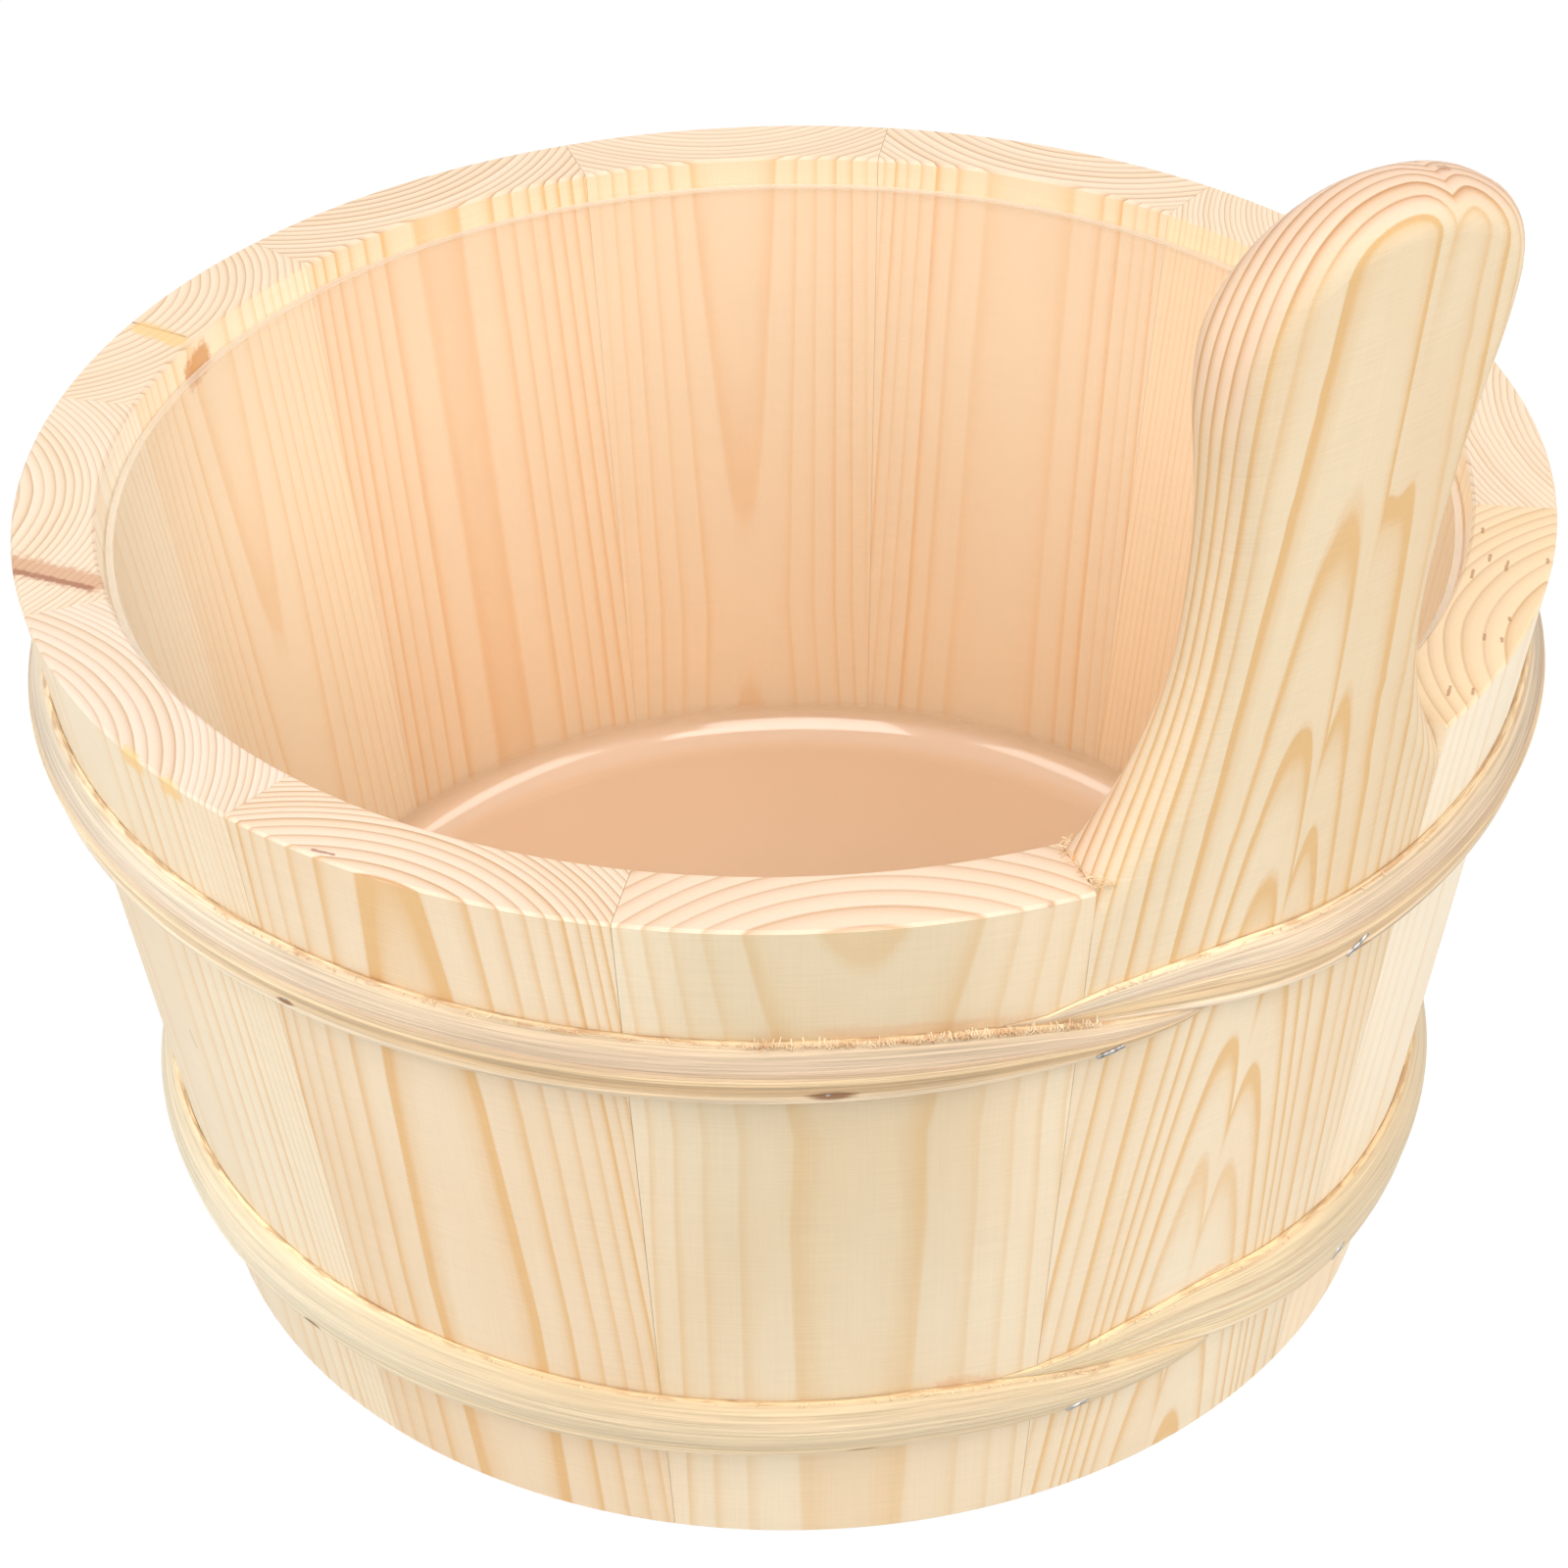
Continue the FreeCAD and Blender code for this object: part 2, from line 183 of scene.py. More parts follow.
def mottle(tree, place, stretch, seed=0.0, detail=2.0):
    """Soft noise about zero. Stretch is how many grains there are to a millimetre along each axis."""
    shift = seed if isinstance(seed, bpy.types.NodeSocket) else (seed, seed, seed)
    scaled = vector_calc(tree, "MULTIPLY_ADD", place, stretch, shift)
    noise = feed(tree, add_node(tree, "TexNoise"), Vector=scaled, Scale=1.0, Detail=detail)
    return calc(tree, "SUBTRACT", noise.outputs[0], 0.5)


def follow_curve(tree, source, points, across, up):
    """A drawn curve through (across, up) points with straight runs, each axis divided by its span."""
    node = add_node(tree, "FloatCurve")
    line = node.mapping.curves[0]
    node.mapping.use_clip = False
    node.mapping.extend = "EXTRAPOLATED"
    while len(line.points) < len(points):
        line.points.new(0.5, 0.5)
    for knot, (x, y) in zip(line.points, sorted(points)):
        knot.location = (x / across, y / up)
        knot.handle_type = "VECTOR"
    node.mapping.update()
    feed(tree, node, Value=calc(tree, "DIVIDE", source, across))
    return times(tree, node.outputs[0], up)


def new_group(name, inputs, outputs):
    """An empty node group with float, vector or colour sockets."""
    kinds = {"float": "NodeSocketFloat", "vector": "NodeSocketVector", "colour": "NodeSocketColor"}
    group = bpy.data.node_groups.new(name, "ShaderNodeTree")
    for label, kind in inputs:
        group.interface.new_socket(label, in_out="INPUT", socket_type=kinds[kind])
    for label, kind in outputs:
        group.interface.new_socket(label, in_out="OUTPUT", socket_type=kinds[kind])
    return group, group.nodes.new("NodeGroupInput").outputs, group.nodes.new("NodeGroupOutput").inputs


def use_group(tree, group, **given):
    """Place a group in a tree, filled by name."""
    return feed(tree, add_node(tree, "Group", node_tree=group), **given).outputs


def object_space(tree):
    """The outputs of a coordinate node: Object, Normal and the rest."""
    return add_node(tree, "TexCoord").outputs


def split(tree, vector):
    """The three numbers of a vector, as sockets."""
    return add_node(tree, "SeparateXYZ", vector).outputs


def combine(tree, *numbers):
    return add_node(tree, "CombineXYZ", *numbers).outputs[0]


def blank_tree(owner):
    """The node tree of a material or a world, with nothing in it yet."""
    owner.use_nodes = True
    owner.node_tree.nodes.clear()
    return owner.node_tree


def new_material(name):
    """A material, its node tree and the shader that is its surface."""
    material = bpy.data.materials.new(name)
    tree = blank_tree(material)
    surface = add_node(tree, "BsdfPrincipled")
    add_node(tree, "OutputMaterial", surface.outputs[0])
    return material, tree, surface


def raise_relief(tree, surface, height, strength, depth):
    """Fine relief on a shader. Depth is in millimetres."""
    bump = feed(tree, add_node(tree, "Bump"), Strength=strength, Distance=depth * MM, Height=height)
    feed(tree, surface, Normal=bump.outputs[0])


print("helpers ready")

# %% [markdown]
# ## Pine, as a tree grows it
# Every board was sawn out of a trunk, and its rings are cylinders about the trunk's pith. A picture of wood
# wrapped round each stave would break at its edges. If instead the material measures the distance to that pith
# and asks which year it falls in, one rule draws the nested arcs on the rim, the long stripes down the staves
# and the flames up the handle, and they all meet at the edges.
# The first group gives the distance, with the wobble that a living tree has.

# %% Group: distance from the pith
ring_distance, given, result = new_group(
    "Distance from the pith",
    [("Place", "vector"), ("Pith depth", "float"), ("Pith side", "float"), ("Wobble", "float"), ("Seed", "float")],
    [("Distance", "float")],
)
tree = ring_distance
parts = split(tree, given["Place"])
inwards = calc(tree, "SUBTRACT", given["Pith depth"], parts[0])
sideways = calc(tree, "SUBTRACT", parts[1], given["Pith side"])
squared = calc(tree, "ADD", calc(tree, "POWER", inwards, 2.0), times(tree, sideways, sideways))
slow = mottle(tree, given["Place"], (0.045, 0.045, 0.007), given["Seed"], 1.0)
quick = mottle(tree, given["Place"], (0.22, 0.22, 0.02), given["Seed"], 2.0)
wobble = times_add(tree, slow, 3.0, times(tree, quick, 0.9))
distance = times_add(tree, wobble, given["Wobble"], calc(tree, "SQRT", squared))
join(tree, distance, result["Distance"])
print("group:", ring_distance.name)

# %% [markdown]
# The second group paints the wood. Spring wood is pale and summer wood is tan: the tan comes in softly and
# stops sharply at the ring's outer edge. Sawn across, the same wood is whiter and its rings are thin and
# pinkish. Fine fibres run along the grain, and the sander left faint marks across it.

# %% Colours of the pine
SPRING_FACE = paint(236, 218, 186)
SUMMER_FACE = paint(226, 186, 130)
SPRING_END = paint(243, 220, 194)
SUMMER_END = paint(200, 156, 110)
CREAM_SHADE = paint(231, 203, 164)
# Painted light: the staves' inner faces take a brighter, warmer copy of the spring and summer paint, standing in for
# the light that fills the pail.
INSIDE_FACE_LIT = paint(248, 222, 188)
INSIDE_SUMMER_LIT = paint(242, 192, 136)
print("spring wood:", [round(level, 3) for level in SPRING_FACE[:3]])

# %% Group: pine colour, roughness and relief
pine_wood, given, result = new_group(
    "Pine",
    [("Place", "vector"), ("Year", "float"), ("End grain", "float"), ("Contrast", "float"), ("Seed", "float")],
    [("Colour", "colour"), ("Roughness", "float"), ("Relief", "float")],
)
tree, place, seed = pine_wood, given["Place"], given["Seed"]
year = calc(tree, "FRACT", given["Year"])
number = calc(tree, "FLOOR", given["Year"])
face_band = follow_curve(tree, year, [
    (0.0, 0.35), (0.05, 0.04), (0.45, 0.04), (0.7, 0.3), (0.9, 1.0), (0.96, 0.95), (1.0, 0.35)], 1.0, 1.0)
end_band = follow_curve(tree, year, [
    (0.0, 0.3), (0.05, 0.02), (0.5, 0.14), (0.8, 0.5), (0.92, 1.0), (1.0, 0.3)], 1.0, 1.0)
chance = add_node(tree, "TexWhiteNoise", noise_dimensions="1D")
chance = feed(tree, chance, W=calc(tree, "ADD", number, seed)).outputs["Value"]
strength = ramp_between(tree, chance, 0.0, 1.0, 0.4, 1.0, soft=False)
along_grain = mottle(tree, place, (0.06, 0.06, 0.015), seed, 1.0)
strength = times(tree, strength, times_add(tree, along_grain, 0.7, 1.0))
strength = times(tree, strength, given["Contrast"])
on_face = times(tree, face_band, strength)
on_end = times(tree, end_band, calc(tree, "POWER", strength, 0.5))

fibres = mottle(tree, place, (2.4, 2.4, 0.06), seed, 2.0)
sanding = mottle(tree, place, (0.07, 0.07, 3.2), seed, 2.0)
pores = mottle(tree, place, (3.2, 1.6, 0.02), seed, 2.0)
shade = mottle(tree, place, (0.03, 0.03, 0.012), seed, 2.0)
face_paint = mix_paint(tree, ramp_between(tree, shade, -0.18, 0.22, 0.0, 0.55), SPRING_FACE, CREAM_SHADE)
# Painted light: towards the inner face the paint turns into its brighter, warmer lit copy.
inside = ramp_between(tree, split(tree, place)[0], -10.0, -13.5)
face_paint = mix_paint(tree, inside, face_paint, INSIDE_FACE_LIT)
face_paint = mix_paint(tree, on_face, face_paint, mix_paint(tree, inside, SUMMER_FACE, INSIDE_SUMMER_LIT))
ring_cream = times(tree, chance, 0.35)
end_paint = mix_paint(tree, ring_cream, SPRING_END, CREAM_SHADE)
end_paint = mix_paint(tree, on_end, end_paint, SUMMER_END)
face_tooth = times_add(tree, fibres, 0.07, times_add(tree, sanding, 0.12, 1.0))
end_tooth = times_add(tree, pores, 0.10, 1.0)
face_paint = mix_paint(tree, 1.0, face_paint, face_tooth, "MULTIPLY")
end_paint = mix_paint(tree, 1.0, end_paint, end_tooth, "MULTIPLY")
join(tree, mix_paint(tree, given["End grain"], face_paint, end_paint), result["Colour"])
join(tree, times_add(tree, fibres, 0.2, 0.55), result["Roughness"])
relief = times_add(tree, on_face, 0.35, times(tree, fibres, 0.5))
join(tree, times_add(tree, sanding, 0.7, relief), result["Relief"])
print("group:", pine_wood.name)

# %% [markdown]
# ## Where each stave sat in its trunk
# The rim shows the arcs of every stave's rings, and all of them have their pith outside the pail. A stave's
# row gives the azimuth of its middle, how deep in front of its outer face the pith lay at some heights, how
# far to the side, and the distances from the pith at which years end. The rings' widths were read
# with a rule from the rim and from the stripes on the face. Tones are what each stave's paint is multiplied by:
# over the face, at its foot, inside the pail and on the end grain. Over the face, at the foot and on the end
# grain they are partly the stave's own colour and partly painted light and shade: darker in the middle of the
# front, lighter at the sides and feet. Inside the pail they are painted light.

# %% The staves' rows
def years(first, *widths):
    """Distances at which years end, from the first one and the widths of the years after it."""
    ends = [first]
    for width in widths:
        ends.append(ends[-1] + width)
    return ends


# The tones in these rows are partly each stave's own colour and partly painted light and shade; the tones inside the
# pail are painted light.
STAVES = {
    "handle_stave": dict(
        middle=-54.2, tone=(0.9, 0.885, 0.87), foot_tone_and_light=(0.98, 1.0, 1.06), tone_heights=(60.0, 170.0),
        end_tone=(0.9, 0.82, 0.8),
        pith=[(0, 40.9), (45, 42.6), (107, 45.05), (166, 47.1), (202, 48.1), (257, 49.3)],
        side=(-3.2, -3.0), wobble=0.12, contrast=1.5, seed=3.0,
        ends=years(40.0, 1.5, 1.2, 1.4, 1.0, 1.2, 0.9, 1.0, 2.3, 2.1, 2.2, *[2.0] * 6)),
    "stave_01": dict(
        middle=-23.05, tone=(1.05, 1.1, 1.22), foot_tone_and_light=(1.08, 1.1, 1.16), end_tone=(1.0, 0.94, 0.8),
        pith=[(0, 32.0), (145, 30.5)], side=(-1.0, -1.0), contrast=0.6, seed=11.0,
        ends=years(27.5, 3.2, 3.2, 3.5, 3.4, 2.8, 2.5, 2.4, 2.3, 2.2, 2.2, 2.1, 2.0, 2.0)),
    "stave_02": dict(
        middle=6.9, tone=(1.08, 1.1, 1.1),
        pith=[(0, 60.0), (145, 60.0)], side=(-8.5, -8.5), wobble=0.5, contrast=0.7, seed=23.0,
        ends=years(55.0, 1.6, 1.6, 1.5, 1.6, 1.3, 1.2, 1.2, 1.1, 1.2, 1.1, 1.2, 1.1, 1.2, 1.1, 1.2, 1.2, 1.1)),
    "stave_03": dict(
        middle=36.2, tone=(1.06, 1.06, 1.04),
        pith=[(0, 27.0), (145, 25.0)], side=(-8.0, -8.0), wobble=0.25, contrast=0.8, seed=31.0,
        ends=years(26.0, 1.8, 1.7, 1.6, 1.5, 1.4, 1.3, 1.2, 1.1, *[1.0] * 8)),
    "stave_04": dict(
        middle=65.75, pith=[(0, 33.6), (60, 33.9), (145, 34.0)], side=(0.0, -1.5), contrast=1.15,
        seed=47.0, ends=years(34.5, 2.0, 2.0, 2.1, 2.0, 2.1, 2.2, 2.3, 2.0, 1.9, 1.7, 1.6, 1.5, 1.5, 1.5)),
    "stave_05": dict(
        middle=94.5, pith=[(0, 34.4), (25, 34.75), (53, 35.15), (90, 34.75), (145, 34.0)], side=(-0.5, -0.5),
        wobble=0.15, contrast=0.7, seed=59.0,
        ends=years(34.0, 1.8, *[1.7] * 4, *[1.6] * 4, 1.2, 1.6, 1.9, 1.8, 1.8, 1.8)),
    "stave_06": dict(
        middle=123.75, pith=[(0, 34.1), (145, 34.0)], side=(0.5, 0.5), wobble=0.12, contrast=1.25, seed=67.0,
        ends=years(35.5, 1.8, 1.8, 1.9, 1.9, 2.0, 1.9, 1.6, 1.8, 1.5, *[1.8] * 5)),
    "stave_07": dict(
        middle=153.1, inside_painted_light=(1.04, 1.13, 1.2),
        pith=[(0, 24.0), (145, 22.0)], side=(1.0, 1.0), wobble=0.3, contrast=0.8, seed=71.0,
        ends=years(22.5, 2.0, 1.9, 1.9, 1.8, 1.8, 1.7, 1.7, 1.6, 1.6, *[1.5] * 4, 1.4, 1.4)),
    "stave_08": dict(
        middle=182.95, inside_painted_light=(1.06, 1.26, 1.5), end_tone=(1.0, 1.02, 1.05),
        pith=[(0, 33.0), (145, 34.0)], side=(-2.0, -2.0), contrast=0.9, seed=83.0,
        ends=years(35.0, 2.2, 1.9, 1.9, 1.7, 1.5, 1.4, *[1.3] * 4, *[1.2] * 5)),
    "stave_09": dict(
        middle=213.95, tone=(1.02, 1.05, 1.12), inside_painted_light=(1.07, 1.28, 1.58), end_tone=(0.99, 1.01, 1.09),
        pith=[(0, 41.5), (145, 40.5)], side=(-10.5, -10.5), contrast=0.85, seed=97.0,
        ends=years(42.7, 2.1, 2.2, 2.0, 2.3, 2.0, 1.4, 1.3, *[1.2] * 7)),
    "stave_10": dict(
        middle=243.85, tone=(0.97, 0.95, 0.97), end_tone=(1.0, 0.98, 1.0),
        pith=[(0, 34.1), (50, 33.6), (100, 34.06), (145, 35.0)], side=(0.0, -3.5), wobble=0.1,
        contrast=1.4, seed=101.0,
        ends=years(33.0, 2.6, 2.6, 2.6, 2.5, 2.3, 2.0, 1.6, 1.4, 1.4, *[1.3] * 6)),
    "stave_11": dict(
        middle=274.4, tone=(0.87, 0.875, 0.865), foot_tone_and_light=(0.98, 1.0, 1.05), tone_span=(-4.0, 14.0, 32.0),
        end_tone=(1.0, 0.95, 0.95),
        pith=[(0, 37.7), (50, 37.2), (80, 36.9), (100, 37.1), (125, 35.6), (140, 33.9), (146, 33.2)],
        side=(0.0, 0.8), wobble=0.12, contrast=0.9, seed=113.0,
        ends=years(34.25, 4.75, 3.8, 3.5, 3.2, 3.0, 3.0, 2.8, 2.6, 2.4, 2.4)),
}
print("staves:", len(STAVES))

# %% [markdown]
# The photograph shows the stains that make this pail itself: a streak of resin across the rim at the left, a
# knot, amber spots and a row of short brown dashes at the right. The pinkish bands just above the hoops, on the
# handle and the stave beside it, are painted shadow of the cane's frayed fibres. A mark's row reads: start and
# end as (depth, across, height), its reach along those three, its strength and its colour.

# %% Marks on the staves
RESIN, RESIN_CORE, KNOT = paint(200, 146, 108), paint(156, 100, 72), paint(214, 152, 92)
# The last colour here is painted shadow, cast by the frayed cane fibres onto the staves.
AMBER, DASH, FIBRE_SHADOW = paint(238, 196, 128), paint(164, 104, 56), paint(222, 172, 130)
RIM = BODY_HEIGHT


def dash(depth, across, length=1.0):
    """A short brown dash on the rim, lying along the rings."""
    half = length * 0.8
    return (depth, across - half, RIM), (depth - 0.3, across + half, RIM), (0.38, 0.4, 1.0), 0.65, DASH


MARKS = {
    "stave_08": [((-0.5, 18.5, RIM), (-15.5, 26.0, RIM), (2.6, 4.6, 6.0), 0.7, RESIN),
                 ((0.0, 20.2, RIM), (-15.0, 27.6, RIM), (0.9, 1.1, 5.0), 0.8, RESIN_CORE)],
    "stave_07": [((0.0, 3.1, RIM), (-12.0, 3.7, RIM), (0.7, 0.45, 4.0), 0.7, paint(150, 96, 62)),
                 ((-14.2, 2.0, 141.5), (-14.2, 7.5, 140.0), (3.0, 2.6, 3.6), 0.8, KNOT),
                 ((-3.0, 4.0, RIM), (-12.0, 5.6, RIM), (2.4, 3.0, 3.0), 0.75, AMBER)],
    "stave_09": [((-0.6, 9.4, 144.2), (-0.6, 12.0, 144.2), (1.6, 2.6, 2.6), 0.75, AMBER),
                 ((-1.4, 19.8, 144.0), (-1.4, 22.2, 144.0), (1.8, 2.4, 2.6), 0.75, AMBER),
                 ((0.0, -2.5, 74.0), (0.0, -3.4, 77.0), (1.0, 0.3, 0.6), 0.5, DASH)],
    "stave_10": [((-2.3, -16.4, RIM), (-2.5, -13.4, RIM), (0.42, 0.8, 1.0), 0.75, paint(156, 98, 82))],
    # The first two marks are painted shadow of the frayed fibres above the upper and lower hoops.
    "stave_11": [((0.0, -4.0, 124.0), (0.0, 27.0, 122.6), (3.0, 3.0, 1.8), 0.25, FIBRE_SHADOW),
                 ((0.0, 16.0, 37.6), (0.0, 29.0, 36.4), (3.0, 3.0, 2.2), 0.45, FIBRE_SHADOW),
                 ((-1.0, 27.5, RIM), (-3.0, 28.5, RIM), (1.0, 1.0, 1.0), 0.5, DASH)],
    "stave_01": [dash(-3.5, -23.8), dash(-7.0, -24.9, 1.6), dash(-5.8, -8.1), dash(-3.0, -7.9, 0.6),
                 dash(-7.8, 13.8, 1.8), dash(-11.0, 15.1, 1.2), dash(-2.0, 17.6, 0.8), dash(-12.4, 9.4, 1.4),
                 dash(-14.3, 23.0, 0.8), dash(-3.4, -1.6, 0.5)],
    # The first two marks are painted shadow of the frayed fibres above the upper and lower hoops.
    "handle_stave": [((0.0, -33.0, 122.4), (0.0, -27.0, 124.6), (3.0, 3.0, 1.8), 0.35, FIBRE_SHADOW),
                     ((0.0, -28.0, 36.6), (0.0, 4.0, 43.2), (3.0, 2.0, 1.2), 0.45, FIBRE_SHADOW),
                     ((-7.0, 8.0, 254.5), (-8.0, 10.5, 255.5), (1.4, 1.0, 1.4), 0.6, paint(176, 122, 84))],
}
print("stained staves:", len(MARKS))

# %% [markdown]
# A stave's pattern is drawn in its own frame: the object's coordinates turned back by its azimuth, in
# millimetres, with the lean taken out. Depth is zero on the outer face, across runs along the rim and
# height runs up the grain. Whatever faces up or down shows end grain.

# %% Build a stave's pine
def stave_place(tree, middle):
    """The stave's own frame as a vector (depth, across, height), and how much a face shows end grain."""
    space = object_space(tree)
    turned = feed(tree, add_node(tree, "Mapping"), Vector=space["Object"], Scale=(1 / MM, 1 / MM, 1 / MM),
                  Rotation=(0.0, 0.0, math.radians(-middle)))
    out, across, height = split(tree, turned.outputs[0])
    depth = calc(tree, "SUBTRACT", times_add(tree, height, -LEAN, out), FOOT_RADIUS)
    end_grain = ramp_between(tree, calc(tree, "ABSOLUTE", split(tree, space["Normal"])[2]), 0.25, 0.75)
    return combine(tree, depth, across, height), across, height, end_grain


YEARS_BEFORE, YEARS_AFTER = 6, 12


def ring_years(tree, distance, ends):
    """The count of years at a distance from the pith, whole at each distance where a year ends. Some more
    years, of the same width, go before the first and after the last."""
    first, last = ends[1] - ends[0], ends[-1] - ends[-2]
    points = [(ends[0] - YEARS_BEFORE * first, 1)]
    points += [(end, YEARS_BEFORE + 1 + index) for index, end in enumerate(ends)]
    points += [(ends[-1] + YEARS_AFTER * last, YEARS_BEFORE + len(ends) + YEARS_AFTER)]
    return follow_curve(tree, distance, points, 100.0, 50.0)


def tint(tree, coat, amount, tone):
    """A colour multiplied by a tone of three numbers, as far as the amount says."""
    toned = mix_paint(tree, amount, (*PLAIN, 1.0), (*tone, 1.0))
    return mix_paint(tree, 1.0, coat, toned, "MULTIPLY")


def finish_wood(tree, surface, place, year, end_grain, row, height=145.0, across=0.0, marks=()):
    """The painted wood on the shader, with its tones, its marks and its fine relief. The tones are partly the
    stave's own colour and partly painted light and shade, and some of the marks are painted shadow.
    """
    wood = use_group(tree, pine_wood, Place=place, Year=year, End_grain=end_grain, Contrast=row["contrast"],
                     Seed=row["seed"])
    raise_relief(tree, surface, wood["Relief"], 0.35, 0.12)
    tone = row.get("tone", PLAIN)
    amount = ramp_between(tree, height, *row.get("tone_heights", (15.0, 90.0)))
    if "tone_span" in row:
        middle, full, none = row["tone_span"]
        from_middle = calc(tree, "ABSOLUTE", calc(tree, "SUBTRACT", across, middle))
        amount = times(tree, amount, ramp_between(tree, from_middle, full, none, 1.0, 0.0))
    # Painted light and shade: the tone over the face, at the foot and on the end grain is partly the stave's own
    # colour and partly painted light and shade.
    tones = mix_paint(tree, amount, (*row.get("foot_tone_and_light", tone), 1.0), (*tone, 1.0))
    # Painted light: the inner faces of the staves on the left are made lighter and paler.
    if "inside_painted_light" in row:
        inner = ramp_between(tree, split(tree, place)[0], 1.0 - WALL, 3.0 - WALL, 1.0, 0.0)
        tones = mix_paint(tree, inner, tones, (*row["inside_painted_light"], 1.0))
    tones = mix_paint(tree, end_grain, tones, (*row.get("end_tone", PLAIN), 1.0))
    coat = mix_paint(tree, 1.0, wood["Colour"], tones, "MULTIPLY")
    for start, end, reach, strength, colour in marks:
        coat = mix_paint(tree, mark(tree, place, start, end, reach, strength, row["seed"]), coat, colour)
    feed(tree, surface, Base_Color=coat, Roughness=wood["Roughness"], Specular_IOR_Level=0.3)


def mark(tree, place, start, end, reach, strength, seed):
    """How strongly a stain shows: full near the line from start to end, gone at its reach, with ragged edges."""
    start, run = Vector(start), Vector(end) - Vector(start)
    from_start = vector_calc(tree, "SUBTRACT", place, tuple(start))
    along = calc(tree, "DIVIDE", vector_calc(tree, "DOT_PRODUCT", from_start, tuple(run)), run.length_squared)
    along = ramp_between(tree, along, 0.0, 1.0, soft=False)
    nearest = vector_calc(tree, "SCALE", tuple(run), scale=along)
    shrunk = vector_calc(tree, "DIVIDE", vector_calc(tree, "SUBTRACT", from_start, nearest), reach)
    ragged = mottle(tree, place, (0.9, 0.9, 0.9), seed, 2.0)
    far = times_add(tree, ragged, 1.1, vector_calc(tree, "LENGTH", shrunk))
    return ramp_between(tree, far, 0.35, 1.0, strength, 0.0)


CREASE_WIDTH = 1.9


def flute(tree, across, height):
    """The crease down the handle's rings, which splits each flame in two, and the swell beside it."""
    line = times_add(tree, height, 0.043, -4.7)
    off = calc(tree, "ABSOLUTE", calc(tree, "SUBTRACT", across, line))
    crease = calc(tree, "EXPONENT", calc(tree, "DIVIDE", off, -CREASE_WIDTH))
    beside = calc(tree, "POWER", calc(tree, "ABSOLUTE", times_add(tree, across, 0.33, -2.0)), 2.0)
    swell = calc(tree, "EXPONENT", times(tree, beside, -1.0))
    return times_add(tree, swell, ramp_between(tree, height, 188.0, 214.0, 0.0, 1.3), crease)


def turned_away(tree, middle):
    """How far a surface has turned sideways from the stave's outer face, for the handle's rounded edges."""
    turn = math.radians(middle)
    outwards = Vector((math.cos(turn), math.sin(turn), -LEAN)).normalized()
    facing = vector_calc(tree, "DOT_PRODUCT", object_space(tree)["Normal"], tuple(outwards))
    return times(tree, ramp_between(tree, facing, 0.55, 0.97, 1.0, 0.0), ramp_between(tree, facing, -0.85, -0.4))


def stave_pine(name, row):
    material, tree, surface = new_material(f"pine_{name}")
    place, across, height, end_grain = stave_place(tree, row["middle"])
    pith = follow_curve(tree, height, row["pith"], 260.0, 100.0)
    low, high = row["side"]
    side = times_add(tree, height, (high - low) / BODY_HEIGHT, low)
    distance = use_group(tree, ring_distance, Place=place, Pith_depth=pith, Pith_side=side,
                         Wobble=row.get("wobble", 0.2), Seed=row["seed"])["Distance"]
    if name == "handle_stave":
        distance = calc(tree, "ADD", distance, flute(tree, across, height))
        edge = times(tree, turned_away(tree, row["middle"]), ramp_between(tree, height, 140.0, 155.0))
        row = dict(row, contrast=times_add(tree, edge, 1.0, row["contrast"]))
        crown = times(tree, edge, ramp_between(tree, height, 215.0, 240.0, 0.15, 0.8))
        end_grain = calc(tree, "MAXIMUM", end_grain, crown)
    year = ring_years(tree, distance, row["ends"])
    finish_wood(tree, surface, place, year, end_grain, row, height, across, MARKS.get(name, ()))
    return material


def dress(node, material):
    """A CAD node keeps its shape and takes the material in every slot."""
    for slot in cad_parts[node].material_slots:
        slot.material = material


for name, row in STAVES.items():
    dress(name, stave_pine(name, row))
print("staves dressed")

# %% [markdown]
# The three base boards lie flat, so their grain runs along X and their rings are seen at the ends.

# %% Base boards
BOARD_TOP = 24.0
BOARD_PITH = 38.0


def board_pine(name, middle, seed):
    material, tree, surface = new_material(f"pine_{name}")
    space = object_space(tree)
    along, across, up = split(tree, space["Object"])
    place = combine(tree, times_add(tree, up, 1 / MM, -BOARD_TOP), times_add(tree, across, 1 / MM, -middle),
                    times(tree, along, 1 / MM))
    end_grain = ramp_between(tree, calc(tree, "ABSOLUTE", split(tree, space["Normal"])[0]), 0.5, 0.9)
    distance = use_group(tree, ring_distance, Place=place, Pith_depth=BOARD_PITH, Pith_side=4.0,
                         Wobble=0.5, Seed=seed)["Distance"]
    year = ring_years(tree, distance, years(BOARD_PITH, *[2.3] * 16))
    finish_wood(tree, surface, place, year, end_grain, dict(contrast=0.8, seed=seed))
    return material


for name, middle, seed in (("base_board_front", -60, 5.0), ("base_board_middle", 0, 13.0),
                           ("base_board_back", 60, 29.0)):
    dress(name, board_pine(name, middle, seed))
print("base boards dressed")

# %% [markdown]
# ## Split-cane hoops
# Each hoop is one strip of cane, riven by hand, bent round the staves and lapped beside the handle. Its section
# has a crisp upper edge, a broad sloping face with fine ridges where the fibres tore, a hollow and a pale
# lip. A bevelled curve would keep one section all the way round, and this strip changes where it was pared. So
# the section is drawn once and spun a little more than a full turn. Then every vertex is moved by what the
# photo shows at its azimuth: where the strip's edges lie, and how far it was pared down to a flat tongue.
# The right-hand end starts as a thin tongue, the left-hand end runs down over it to a tip on the lower edge.

